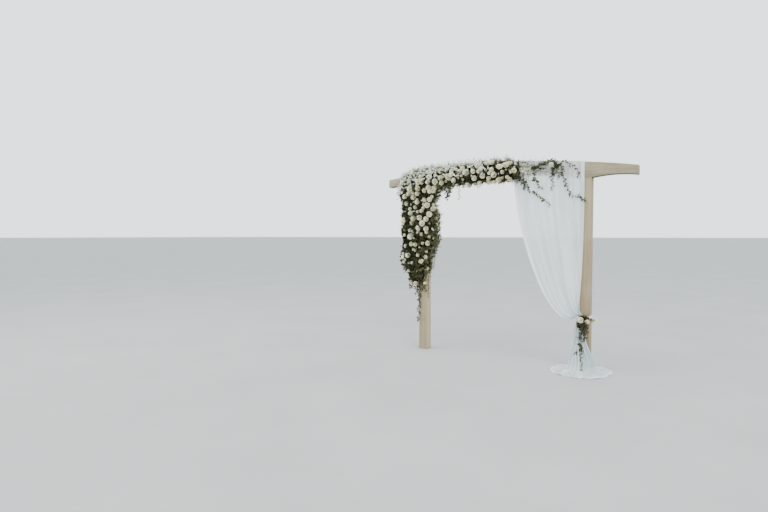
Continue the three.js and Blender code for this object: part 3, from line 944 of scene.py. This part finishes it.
def strandTree():
    # a thin stem along a curve, with leaves turned round it at even steps
    tree = Growth("leafy_strand", "Thickness", "Step", "Smallest", "Largest", "Lean")
    given = tree.input
    ring = tree.node("GeometryNodeCurvePrimitiveCircle", {}, {"Resolution": 5, "Radius": given["Thickness"]})
    stem = tree.node("GeometryNodeCurveToMesh", {}, {0: given["Geometry"], 1: ring, "Fill Caps": True})
    stem = tree.stored(stem, "bark", 1.0, "POINT")
    spots = tree.node("GeometryNodeCurveToPoints", {"mode": "LENGTH"},
                      {0: given["Geometry"], "Length": given["Step"]})
    lean = tree.random(given["Lean"] * 0.7, given["Lean"] * 1.2, 1)
    size = tree.random(given["Smallest"], given["Largest"], 3)
    leaves = tree.scattered(spots, tree.turned(spots.beside("Rotation"), lean, 2), size)
    join = tree.node("GeometryNodeJoinGeometry", {}, {0: leaves})
    tree.feed(join.socket.node.inputs[0], stem)
    return tree.close(join)


def grow(made, tree, **values):
    # puts the tree on the object, with each input set by its socket's identifier
    modifier = made.modifiers.new(tree.name, "NODES")
    modifier.node_group = tree
    for item in tree.interface.items_tree:
        if item.in_out == "INPUT" and item.name in values:
            modifier[item.identifier] = values[item.name]


coverWithSprigs = coverTree()
setFlowers = flowersTree()
leafyStrand = strandTree()
print("kit ready")

# where flowers and leaves go

timberNodes = ("post_left", "post_right", "beam")
touching = 0.004

# layers of sprigs: kit, paint, number a square metre, clearance from the flowers,
# smallest and largest size, least and most lean
layerInputs = ("Paint", "Density", "Clearance", "Smallest", "Largest", "Upright", "Flat")
layers = {
    # the first layers of the garland and the posy use the half-bright leaves, as painted shade deep inside
    "under": ("deep", shadedLeafMaterial, 1700.0, -0.02, 0.55, 0.95, 0.7, 1.5),
    "sprigs": ("sprig", leafMaterial, 1900.0, 0.006, 0.45, 0.85, 0.95, 1.55),
    "pale": ("pale", leafMaterial, 1300.0, 0.004, 0.6, 1.0, 0.8, 1.5),
    "wisps": ("wisp", wispMaterial, 1100.0, -0.006, 0.45, 0.85, 0.2, 1.2),
    "posy_under": ("deep", shadedLeafMaterial, 2200.0, -0.02, 0.45, 0.75, 0.7, 1.5),
    "posy_sprigs": ("dark", leafMaterial, 2600.0, 0.002, 0.45, 0.8, 0.9, 1.5),
}


def shellOf(nodeName, keepFrom):
    # the solid's outer skin, without the faces that lie against what keepFrom holds
    solid = mergedCopy(nodeName)
    against = [f for f in solid.faces if keepFrom.find_nearest(f.calc_center_median(), touching)[0]]
    bmesh.ops.delete(solid, geom=against, context="FACES")
    bmesh.ops.subdivide_edges(solid, edges=solid.edges, cuts=1, use_grid_fill=True)
    return solid


def drawIn(solid, carrier, depth):
    # moves the solid's points towards what carries it; those that touch it stay
    for vert in solid.verts:
        near, _, _, away = carrier.find_nearest(vert.co)
        if away > touching:
            vert.co += (near - vert.co) * min(0.93, depth(vert.co) / away)
    solid.normal_update()
    return solid


def treeOfMeshes(solids):
    points, faces = [], []
    for solid in solids:
        start = len(points)
        solid.verts.index_update()
        points += [v.co.copy() for v in solid.verts]
        faces += [[start + v.index for v in f.verts] for f in solid.faces]
    return BVHTree.FromPolygons(points, faces)


# how far from the camera a seat is looked for, in what steps, and how proud of the solid it may be
seek = {"from": 5.5, "to": 10.5, "step": 0.01, "proud": 0.034}


def seatOf(tree, seen, sizeUp):
    # where a flower read from the photograph sits, the way it faces and its width in metres
    across, down, wide = seen
    ray = sightLine(across, down).normalized()
    spot, normal, _, _ = tree.ray_cast(viewPlace, ray)
    if spot is None:
        # past the edge it sits proud of the nearest place
        steps = [viewPlace + ray * d for d in np.arange(seek["from"], seek["to"], seek["step"])]
        beside = min(steps, key=lambda step: tree.find_nearest(step)[3])
        spot, normal, _, away = tree.find_nearest(beside)
        spot = spot + (beside - spot) * min(1, seek["proud"] / away)
    ahead = viewTurn.to_matrix() @ Vector((0, 0, -1))
    depth = (spot - viewPlace).dot(ahead)
    return spot, (normal * 0.55 - ray * 0.45).normalized(), sizeUp * wide * depth / pixelReach


def onPlane(across, down, y):
    # the point of an upright plane, y metres behind the posts' middle, that the photograph shows there
    ray = sightLine(across, down)
    return viewPlace + ray * ((y - viewPlace.y) / ray.y)


def lineOf(seen, y):
    return [onPlane(across, down, y) for across, down in seen]


def freeSeat(seen, y):
    # the seat of a flower that hangs in a spray
    across, down, wide = seen
    spot = onPlane(across, down, y)
    away = viewPlace - spot
    return spot, (away.normalized() + Vector((0, 0, 0.3))).normalized(), wide * away.length / pixelReach


def moreSeats(shells, taken, spacing, sizes, perArea, seed, wanted):
    # seats that keep their spacing from those taken, on the faces where wanted(centre, normal) holds
    draw = random.Random(seed)
    seats = []
    for shell in shells:
        for face in shell.faces:
            if not wanted(face.calc_center_median(), face.normal):
                continue
            count = face.calc_area() * perArea
            for _ in range(int(count) + (draw.random() < count % 1)):
                weights = [draw.random() for _ in face.verts]
                spot = sum((v.co * m for v, m in zip(face.verts, weights)), Vector()) / sum(weights)
                if all((spot - other).length > spacing for other in taken):
                    taken.append(spot)
                    lean = Vector((draw.uniform(-1, 1), draw.uniform(-1, 1), draw.uniform(-1, 1))) * 0.3
                    seats.append((spot, (face.normal + lean).normalized(), draw.uniform(*sizes)))
    return seats


def eased(seats):
    # flowers that would sink into their neighbours are made a little smaller
    spots = [spot for spot, _, _ in seats]
    near = [min((spot - other).length for other in spots if other is not spot) for spot in spots]
    return [(spot, facing, min(wide, 1.25 * gap + 0.012)) for (spot, facing, wide), gap in zip(seats, near)]


def unseen(centre, normal):
    return normal.dot((viewPlace - centre).normalized()) < 0.12


def pointsOf(name, seats):
    spots, facings, widths = zip(*seats)
    made = addObject(name, meshOf(name, spots, []))
    setAttribute(made.data, "facing", facings, "FLOAT_VECTOR")
    setAttribute(made.data, "wide", widths)
    return made


def addFlowers(name, seats, kitName, seed):
    made = pointsOf(name, seats)
    grow(made, setFlowers, Kit=kits[kitName], Paint=roseMaterial, Seed=seed)
    made = freeze(made, name)
    print(name, len(seats), "flowers,", len(made.data.polygons), "faces")
    addPiece(made, "garland")


def sprigsOver(layerName, shell, cover, seats, seed):
    # cover(place, normal) says how thickly the sprigs grow at each point of the shell
    made = objectOf(layerName, shell)
    setAttribute(made.data, "cover", [cover(v.co, v.normal) for v in made.data.vertices])
    kitName, *values = layers[layerName]
    grow(made, coverWithSprigs, Kit=kits[kitName], Flowers=seats, Seed=seed, **dict(zip(layerInputs, values)))
    return freeze(made, layerName)


def joined(name, parts):
    for part in [part for part in parts if not len(part.data.polygons)]:
        parts.remove(part)
        bpy.data.objects.remove(part)
    with bpy.context.temp_override(active_object=parts[0], object=parts[0], selected_objects=parts,
                                   selected_editable_objects=parts):
        bpy.ops.object.join()
    parts[0].name = name
    parts[0].data.name = name
    print(name, len(parts[0].data.polygons), "faces")
    return parts[0]


# garland

garland = {
    "nodes": ("garland_post_lower", "garland_post_middle", "garland_post_upper", "garland_corner",
              "garland_beam_left", "garland_beam_middle", "garland_beam_right"),
    "seatDepth": 0.030, "heartDepth": 0.052, "heartUp": 1.012,
    "roseUp": 1.03,
    "tailFront": -0.116,
    "seed": 11,
    # flowers beside those read: their spacing, their widths and how many a square metre
    "hiddenRoses": (0.085, (0.050, 0.078), 260),
    "upperBuds": (0.042, (0.022, 0.046), 260),
    "lowerBuds": (0.050, (0.020, 0.036), 70),
}

# roses read from the photograph: across, down and width in its pixels
upperPostRoses = (
    (428, 172.5, 5), (429.3, 177.5, 6), (418.5, 181.8, 7), (422, 181.5, 5), (421, 177, 5), (428, 182, 5),
    (435, 181.8, 6), (441, 178.3, 6.5), (440.8, 171, 5.5), (445.3, 167.8, 5.5), (447, 169, 4),
    (451.5, 171, 4), (451.5, 175, 5.5), (448, 177.3, 5.5), (454.3, 180.5, 6.5), (458.8, 172, 5.5),
    (448.8, 186, 6), (441.5, 183, 5), (448.3, 190, 6), (457, 184, 5), (428.5, 187.5, 5), (434, 187, 6),
    (418, 188.5, 5.5), (424.5, 190.5, 5), (430, 191.5, 7), (433, 190.5, 6), (417.5, 193.5, 5),
    (413, 193, 4), (410, 189, 6), (409, 183.5, 4), (403, 182.5, 6), (402.3, 192.3, 4.5), (408.8, 194, 6),
    (405, 196.5, 5), (431.5, 196.5, 4.5), (424.5, 199.3, 6), (430, 199.5, 5), (434.5, 200, 6),
    (413.5, 197.5, 5), (407, 203.5, 6), (417.5, 202, 5), (427.5, 205, 6), (432.5, 205, 4),
    (415.5, 207, 4), (423.5, 208, 4), (422, 211, 5.5), (418, 212, 4), (433, 209, 6), (429, 214.5, 6),
    (410.5, 209, 5), (404, 212, 4), (410.5, 213.5, 5), (413.5, 218.5, 5.5), (419.5, 217.5, 5.5),
    (426, 219, 5), (405, 221.3, 7), (412, 223, 4.5), (422.4, 223.5, 6), (436.3, 218.5, 3),
)
beamRoses = (
    (463, 169, 5), (466.5, 172.5, 6), (473.3, 171.5, 5), (477.5, 166, 6), (481.5, 169, 5.5),
    (479, 171.5, 5), (474.5, 178.3, 6), (482.8, 175.8, 6), (492, 162.8, 5), (488, 164, 4),
    (491.5, 170, 5), (499.3, 167.5, 7), (505.5, 165.3, 6), (509.5, 163.5, 5), (494, 175, 6.5),
    (502.5, 172, 5), (488.5, 177.8, 5), (489, 181.3, 6), (494.5, 181, 5), (499, 179.5, 5),
    (507.5, 177, 5), (510, 179.5, 6), (480, 182, 6), (467.5, 183, 6), (463.5, 186, 4), (469.5, 187, 5),
    (513.8, 170.5, 5),
)
lowerPostRoses = (
    (418.4, 228.2, 5), (426, 228.7, 6), (426.6, 232, 4), (405, 230.4, 3), (410.2, 230.4, 5),
    (412.8, 231.3, 3), (405.4, 234.7, 4), (411, 236.5, 6), (429.2, 236.5, 4), (421.4, 234.3, 4),
    (411.6, 243.8, 4.5), (415.4, 244.7, 5), (422.7, 243.4, 4), (428, 243, 6), (406.3, 245.6, 4.5),
    (413.6, 249.5, 3), (425.8, 251.2, 4), (418.4, 255.1, 4), (402.4, 253.4, 3), (403.7, 256.8, 5),
    (408.2, 255.1, 5), (424.9, 256.8, 4.5), (421, 261.2, 4.5), (404.1, 262, 3.5), (409.3, 262.5, 3.5),
    (412.5, 262.9, 3.5), (427, 268.5, 4),
)
tailRoses = ((409.3, 270.7, 4.2), (411.6, 283.2, 3.6), (415.8, 283.5, 4.5), (424.9, 283.3, 3.4))


def grade(value, low, high):
    # 0 at low, 1 at high
    return min(1, max(0, (value - low) / (high - low)))


def fade(spot):
    # the greens thin out down the post, last on its left side
    low = 0.84 + 0.16 * grade(spot.x, -0.02, 0.04) + 0.08 * noise.noise(spot * 16)
    return min(1, max(0.0, (spot.z - low) / 0.24)) if spot.z < 2 else 1


def tuck(spot):
    # how much further in the flowers sit in the inner corner and low on the right, and how much less
    # on the left
    corner = 0.12 * grade(spot.x, 0.20, 0.30) * grade(spot.z, 2.20, 2.12) * grade(spot.z, 1.85, 1.95)
    right = 0.08 * grade(spot.x, 0.05, 0.12) * grade(spot.z, 1.50, 1.22)
    left = 0.028 * grade(spot.x, -0.12, -0.20) * grade(spot.z, 2.45, 2.35)
    return corner + right - left


def makeGarland():
    timberTree = treeOf(*timberNodes)
    shells = {}
    for nodeName in garland["nodes"]:
        others = [n for n in garland["nodes"] if n != nodeName]
        shell = shellOf(nodeName, treeOf(*timberNodes, "drape_header", "drape_curtain", *others))
        shells[nodeName] = drawIn(
            shell, timberTree, lambda spot: garland["seatDepth"] + 0.09 * (1 - fade(spot)) + tuck(spot))
    skins = list(shells.values())
    seatTree = treeOfMeshes(skins)
    read = upperPostRoses + beamRoses + lowerPostRoses
    roses = [seatOf(seatTree, seen, garland["roseUp"]) for seen in read]
    roses = eased(roses) + [freeSeat(seen, garland["tailFront"]) for seen in tailRoses]
    taken = [spot for spot, _, _ in roses]
    seed = garland["seed"]
    roses += moreSeats(skins, taken, *garland["hiddenRoses"], seed, unseen)
    buds = moreSeats(skins, taken, *garland["upperBuds"], seed + 1, lambda spot, normal: spot.z > 1.95)
    buds += moreSeats(skins, taken, *garland["lowerBuds"], seed + 2,
                      lambda spot, normal: 1.15 < spot.z < 1.95)
    allSeats = pointsOf("flower_points", roses + buds)
    for number, nodeName in enumerate(garland["nodes"]):
        makeGreens(nodeName, shells[nodeName], allSeats, timberTree, seed + 20 * number)
    bpy.data.objects.remove(allSeats)
    addFlowers("garland_roses", roses, "rose", 5)
    addFlowers("garland_buds", buds, "bud", 6)


def makeGreens(nodeName, shell, seats, timberTree, seed):
    def cover(spot, normal):
        part = 0.28 if normal.x > 0.35 and spot.z < 1.98 else 1
        part = 0.05 + 0.35 * grade(spot.x, 0.8, 1.1) if normal.z > 0.2 and spot.z > 2.2 else part
        part = 0.55 if normal.y < -0.5 and 1.1 < spot.z < 1.62 else part
        return part * (0.04 + 0.96 * fade(spot))

    def paleCover(spot, normal):
        # lighter leaves under and over the beam's garland and down the right side
        rim = max(0, abs(normal.z) - 0.25) if spot.z > 2.1 else 0
        side = max(0, normal.x - 0.1) * 1.7 if spot.z < 2.0 else 0
        return (rim + side + 0.05) * fade(spot)

    def wispCover(spot, normal):
        top = max(0, normal.z + 0.1) if spot.z > 2.2 else 0
        left = max(0, -normal.x) if spot.x < 0 and spot.z > 2.1 else 0.03
        return (top * 2.0 + left * 1.2) * (1 - 0.65 * grade(spot.x, 0.5, 1.1))

    def depth(spot):
        lumps = 0.016 * noise.noise(spot * 22) + 0.014 * noise.noise(spot * 55)
        inner = 0.035 * grade(spot.x, 0.08, 0.14) * grade(spot.z, 2.0, 1.9)
        top = 0.03 * grade(spot.z, 2.38, 2.44)
        left = 0.026 * grade(spot.x, -0.10, -0.15) * grade(spot.z, 2.25, 2.15)
        return garland["heartDepth"] + 0.10 * (1 - fade(spot)) + tuck(spot) + inner + top - left + lumps

    solid = mergedCopy(nodeName)
    bmesh.ops.subdivide_edges(solid, edges=solid.edges, cuts=2, use_grid_fill=True)
    bare = [f for f in solid.faces if fade(f.calc_center_median()) < 0.35]
    bmesh.ops.delete(solid, geom=bare, context="FACES")
    drawIn(solid, timberTree, depth)
    # neighbouring hearts reach into each other
    centre = sum((vert.co for vert in solid.verts), Vector()) / len(solid.verts)
    for vert in solid.verts:
        vert.co = centre + (vert.co - centre) * garland["heartUp"]
    parts = [
        sprigsOver("under", solid, lambda spot, normal: 1.0, seats, seed + 11),
        # the near-black core is painted shade
        objectOf("garland_heart", solid, shadeCoreMaterial),
        sprigsOver("sprigs", shell, cover, seats, seed),
        sprigsOver("pale", shell, paleCover, seats, seed + 3),
        sprigsOver("wisps", shell, wispCover, seats, seed + 7),
    ]
    solid.free()
    shell.free()
    addPiece(joined("greens_" + nodeName.replace("garland_", ""), parts), "garland", nodeName)


makeGarland()
print("garland ready")

# vine over the drape, sprigs and trails: leaves along thin stems

vine = {
    "stem": 0.0022, "lean": 1.1,
    "stepUp": 1.6, "leafUp": 0.75, "roseUp": 1.15, "seed": 70, "hangingSeed": 30,
    "dark": ("dark", leafMaterial), "cream": ("wisp", wispMaterial), "beige": ("wisp", beigeMaterial),
}

# runs of the vine: kind, step between the leaves, their smallest and largest size, the depth y, and points
# read from the photograph, across and down in its pixels
vineRuns = (
    ("dark", 0.012, 0.7, 1.05, -0.095, ((517, 163.5), (521, 162.2), (526, 162.8), (531, 165.6),
                                        (535, 167.8))),
    ("dark", 0.0045, 0.7, 1.15, -0.096, ((532, 167.5), (536, 167.4), (540, 165.6), (544, 163.6), (548, 162),
                                         (551, 161), (555, 162.2), (558, 164.8))),
    ("dark", 0.007, 0.7, 1.0, -0.100, ((531, 167.6), (535, 168.4), (539, 167.6), (543, 168.8))),
    ("dark", 0.006, 0.7, 1.1, -0.080, ((553, 161.6), (555.5, 163.5), (557.5, 166.5))),
    ("dark", 0.005, 0.7, 1.2, -0.105, ((515, 170), (517, 174), (520.5, 179.5), (523.5, 184.5),
                                       (525.5, 187.5))),
    ("dark", 0.010, 0.7, 1.1, -0.098, ((551.5, 167), (551.8, 172), (551.6, 177))),
    ("dark", 0.010, 0.7, 1.1, -0.098, ((556, 165), (557.6, 171), (560, 177))),
    ("beige", 0.0040, 0.6, 1.0, -0.090, ((518.5, 165.5), (522, 166.5), (526, 167), (530, 166.5))),
    ("beige", 0.0040, 0.6, 1.0, -0.094, ((519, 169), (523, 170), (527, 170.2), (531, 169.5))),
    ("beige", 0.0040, 0.6, 1.0, -0.096, ((519.5, 172.5), (523.5, 173.8), (528, 174.2))),
    ("beige", 0.0060, 0.5, 0.9, -0.094, ((521, 176.5), (525, 178.5), (527.5, 181))),
    ("beige", 0.0060, 0.5, 0.8, -0.094, ((535, 170), (540, 171), (545, 172), (549, 171))),
    ("cream", 0.0080, 0.5, 0.8, -0.080, ((518, 161.5), (523, 160.8), (528, 160.8), (534, 161.5), (540, 161.2),
                                         (545, 161))),
)
vineRoses = ((551.5, 164.5, 4.5),)

# each is a name, the node that it replaces and the points of its stem
hanging = (
    ("hanging_vine_1", "hanging_sprig_1", (
        (1.352, -0.094, 2.375), (1.422, -0.092, 2.172), (1.490, -0.090, 2.080), (1.563, -0.088, 2.022),
        (1.700, -0.088, 1.945))),
    ("hanging_vine_2", "hanging_sprig_2", (
        (1.530, -0.094, 2.365), (1.536, -0.092, 2.249), (1.565, -0.090, 2.176), (1.602, -0.088, 2.121))),
    ("hanging_vine_3", "hanging_sprig_3", (
        (1.741, -0.094, 2.370), (1.742, -0.090, 2.240), (1.744, -0.088, 2.120))),
    ("hanging_vine_4", "hanging_sprig_4", (
        (1.838, -0.090, 2.390), (1.863, -0.090, 2.288), (1.910, -0.088, 2.124), (1.979, -0.088, 2.017),
        (2.100, -0.088, 1.965))),
    ("hanging_vine_5", "hanging_sprig_5", (
        (1.840, -0.090, 2.408), (1.907, -0.084, 2.405), (1.998, -0.082, 2.349), (2.033, -0.082, 2.290),
        (2.038, -0.082, 2.235))),
    ("post_trail_leaves", "post_trail", (
        (-0.044, -0.070, 0.860), (-0.050, -0.076, 0.740), (-0.056, -0.074, 0.620), (-0.060, -0.072, 0.500),
        (-0.058, -0.070, 0.400))),
    ("posy_trail_leaves", "posy_trail", (
        (2.112, -0.150, 0.520), (2.108, -0.158, 0.430), (2.106, -0.164, 0.340), (2.112, -0.180, 0.220),
        (2.120, -0.205, 0.120), (2.128, -0.236, 0.040))),
)
hangingLeaves = {
    "hanging_sprig_5": ("cluster", 0.043, 0.8, 1.3),
    "post_trail": ("cluster", 0.026, 0.9, 1.3),
    "posy_trail": ("deep", 0.038, 0.9, 1.4),
}
otherLeaves = ("cluster", 0.033, 0.85, 1.45)


def strand(points, kitName, step, smallest, largest, seed, paint=leafMaterial, name="strand"):
    curve = bpy.data.curves.new(name, "CURVE")
    curve.dimensions = "3D"
    line = smoothLine(points, 24)
    spline = curve.splines.new("POLY")
    spline.points.add(len(line) - 1)
    for point, spot in zip(spline.points, line):
        point.co = (*spot, 1)
    made = addObject(name, curve)
    grow(made, leafyStrand, Kit=kits[kitName], Thickness=vine["stem"], Step=step, Smallest=smallest,
         Largest=largest, Lean=vine["lean"], Paint=paint, Seed=seed)
    return freeze(made, name)


def makeVine():
    parts = []
    for number, (kind, step, smallest, largest, y, seen) in enumerate(vineRuns):
        kitName, paint = vine[kind]
        parts.append(strand(lineOf(seen, y), kitName, step * vine["stepUp"], smallest * vine["leafUp"],
                            largest * vine["leafUp"], vine["seed"] + number, paint))
    addPiece(joined("vine_greens", parts), "garland", "vine_over_drape")
    carrier = treeOf("vine_over_drape")
    roses = [seatOf(carrier, seen, vine["roseUp"]) for seen in vineRoses]
    addFlowers("vine_roses", roses, "rose", 8)


# light sprays at the garland's side edges, at its lower end, over its top and under the beam: kind, the
# depth y, and points read from the photograph
tendrils = (
    ("olive", -0.10, ((430, 196), (434.9, 203), (436.6, 213), (436.0, 222))),
    ("olive", -0.08, ((431, 216), (435.2, 228), (436.3, 240), (435.2, 251))),
    ("olive", -0.06, ((429, 238), (433.6, 250), (435.0, 260), (433.4, 269))),
    ("olive", -0.08, ((427, 254), (431.5, 263), (430.5, 272))),
    ("tail", -0.102, ((407, 258), (408.5, 266), (410.0, 273), (411.5, 280), (411, 286.5))),
    ("tail", -0.104, ((411, 262), (412.5, 270), (414.5, 278), (415.5, 285), (416.5, 292))),
    ("tail", -0.10, ((415, 264), (417, 272), (418.5, 280), (418.5, 288))),
    ("tail", -0.09, ((420, 264), (421, 271), (421.5, 278))),
    ("tail", -0.102, ((424, 264), (425.5, 272), (425.3, 280), (424, 288))),
    ("olive", -0.09, ((430, 205), (433.5, 212), (435.0, 220), (434.5, 229))),
    ("olive", -0.07, ((432, 190), (434.6, 198), (435.4, 207), (434.9, 216))),
    ("olive", -0.11, ((431, 196), (434.6, 203), (436.4, 213), (435.9, 222))),
    ("olive", -0.10, ((431, 212), (435.0, 224), (436.4, 236), (435.0, 248))),
    ("olive", -0.06, ((432, 212), (435.6, 221), (436.2, 230), (435.2, 240))),
    ("olive", -0.05, ((431, 233), (434.4, 243), (434.0, 253), (432.0, 262))),
    ("olive", -0.05, ((428, 248), (431.4, 256), (431.4, 265), (430.0, 275))),
    ("edge", -0.030, ((427.2, 262), (427.8, 270), (428.2, 279), (428.4, 288), (427.9, 297))),
    ("olive", -0.08, ((430.5, 224), (433.6, 233), (434.4, 242), (432.8, 252))),
    ("olive", -0.11, ((431, 206), (434.2, 215), (435.8, 225), (434.8, 236))),
    ("olive", -0.06, ((432, 212), (435.6, 218), (437.2, 225), (436.4, 233))),
    ("olive", -0.09, ((430, 224), (434.4, 230), (436.0, 237), (434.6, 246))),
    ("olive", -0.04, ((431, 200), (434.8, 208), (436.8, 216), (436.6, 225))),
    ("tail", -0.07, ((405, 244), (402.8, 250), (402.2, 257), (403.4, 264), (406, 270))),
    ("tail", -0.10, ((406, 240), (404, 247), (403, 254), (403.6, 261), (405.4, 267))),
    ("tail", -0.08, ((406, 203), (403.6, 212), (402.8, 222), (403.4, 232), (405, 241))),
    ("tail", -0.10, ((445.5, 185), (446.0, 190), (446.9, 194.5), (446.4, 198))),
    ("tail", -0.09, ((448.5, 184), (449.4, 189), (448.8, 194.5))),
    ("tail", -0.08, ((451, 183), (451.8, 187.5), (451.2, 191))),
    ("dark", -0.10, ((493, 166), (495.0, 161), (496.3, 157.2))),
    ("dark", -0.09, ((503, 165), (504.2, 161), (505.3, 157.6))),
    ("dark", -0.08, ((502, 163), (506.5, 158.6), (510.0, 159.6), (513, 164))),
    ("dark", -0.06, ((459, 185), (459.4, 191.5), (458.8, 198.5))),
    ("dark", -0.08, ((448, 188), (448.4, 192.5), (447.7, 197.5))),
    ("dark", -0.10, ((512, 176), (513.4, 180), (513.2, 184.5))),
    ("dark", -0.10, ((417, 284), (417.4, 290), (418.6, 296), (418.3, 300))),
)

tendrilLeaves = {
    "olive": ("olive", 0.0075),
    "tail": ("cluster", 0.020),
    "dark": ("leaf", 0.012),
    "edge": ("leaf", 0.009),
}
tendrilSizes = (0.9, 1.5)
tendrilSeed = 90


def makeTendrils():
    parts = [strand(lineOf(seen, y), *tendrilLeaves[kind], *tendrilSizes, tendrilSeed + number)
             for number, (kind, y, seen) in enumerate(tendrils)]
    addPiece(joined("garland_tendrils", parts), "garland")


makeVine()
makeTendrils()
for number, (name, nodeName, points) in enumerate(hanging):
    leaves = hangingLeaves.get(nodeName, otherLeaves)
    made = strand(points, *leaves, vine["hangingSeed"] + number, name=name)
    addPiece(made, "sprigs", nodeName)
print("vine and sprigs ready")

# tie and posy

# read from the photograph, across, down and width in its pixels
posyRoses = ((580.8, 320.3, 5.6), (577.2, 321.3, 4.0), (586.8, 321.9, 5.0), (594.3, 320.4, 4.3))
posySprays = (
    ((583, 326), (584.6, 332), (585.2, 339)), ((580.5, 326), (581, 332), (580.2, 338)),
    ((586.3, 323), (586.8, 327), (585.8, 331.5)), ((581, 346), (579.5, 350), (576.5, 353.5)),
    ((581.3, 323), (582, 327), (582.6, 332)), ((584.4, 323), (585.3, 328), (584.6, 334)),
)
posy = {
    "seatDepth": 0.012, "heartDepth": 0.022, "roseUp": 1.12,
    # step between the leaves, smallest and largest size
    "spray": (0.017, 0.7, 1.2), "twig": (0.013, 0.35, 0.65),
    "sprayFront": -0.168,
    "twigRises": (0.020, 0.004, -0.010),
    "lumps": 0.008, "spraySeed": 50, "twigSeed": 60,
}


def ribbonPaint(graph):
    threads = graph.noise(graph.objectPlace((1, 1, 8)), 90.0, 3)
    colour = graph.ramp(threads, (0.3, (0.80, 0.80, 0.75)), (0.7, (0.90, 0.90, 0.86)))
    return principled(graph, colour, 0.5, threads, 0.3, 0.0008, Sheen_Weight=0.2)


def makeTie():
    solid = mergedCopy("tie_band")
    roundEdges(solid, 35, 0.0015, 2)
    made = objectOf("tie_ribbon", solid, surface("tie_ribbon", ribbonPaint))
    solid.free()
    made.data.set_sharp_from_angle(angle=math.radians(40))
    addPiece(made, "tie", "tie_band")


def makePosy():
    def bare(spot):
        # right of the middle rose there are twigs alone
        return max(grade(spot.x, 2.165, 2.190), grade(spot.x, 2.14, 2.17) * grade(spot.z, 0.585, 0.56))

    def cover(spot, normal):
        # few leaves above the roses
        return 1 - max(bare(spot), 0.75 * grade(spot.z, 0.612, 0.628))

    carrier = treeOf("tie_band", "post_right", "drape_curtain", "drape_skirt")
    shell = shellOf("tie_posy", carrier)
    drawIn(shell, carrier, lambda spot: posy["seatDepth"])
    roses = [seatOf(treeOfMeshes([shell]), seen, posy["roseUp"]) for seen in posyRoses]
    middle, right = roses[2][0], roses[3][0]
    seats = pointsOf("posy_points", roses)
    solid = mergedCopy("tie_posy")
    bmesh.ops.subdivide_edges(solid, edges=solid.edges, cuts=1, use_grid_fill=True)
    drawIn(solid, carrier, lambda spot: posy["heartDepth"] + posy["lumps"] * noise.noise(spot * 30))
    leafless = [f for f in solid.faces if cover(f.calc_center_median(), None) < 0.5]
    bmesh.ops.delete(solid, geom=leafless, context="FACES")
    parts = [
        sprigsOver("posy_under", solid, cover, seats, 17),
        objectOf("posy_heart", solid, shadeCoreMaterial),
        sprigsOver("posy_sprigs", shell, cover, seats, 6),
    ]
    for number, seen in enumerate(posySprays):
        line = lineOf(seen, posy["sprayFront"])
        parts.append(strand(line, "deep", *posy["spray"], posy["spraySeed"] + number))
    for number, rise in enumerate(posy["twigRises"]):
        # twigs that carry the rose on the right
        raised = (middle + right) / 2 + Vector((0, 0, rise))
        line = (middle.lerp(right, 0.20), raised, middle.lerp(right, 0.85))
        parts.append(strand(line, "deep", *posy["twig"], posy["twigSeed"] + number))
    solid.free()
    shell.free()
    bpy.data.objects.remove(seats)
    addPiece(joined("posy_greens", parts), "garland", "tie_posy")
    addFlowers("posy_roses", roses, "rose", 14)


makeTie()
makePosy()
print("tie and posy ready")
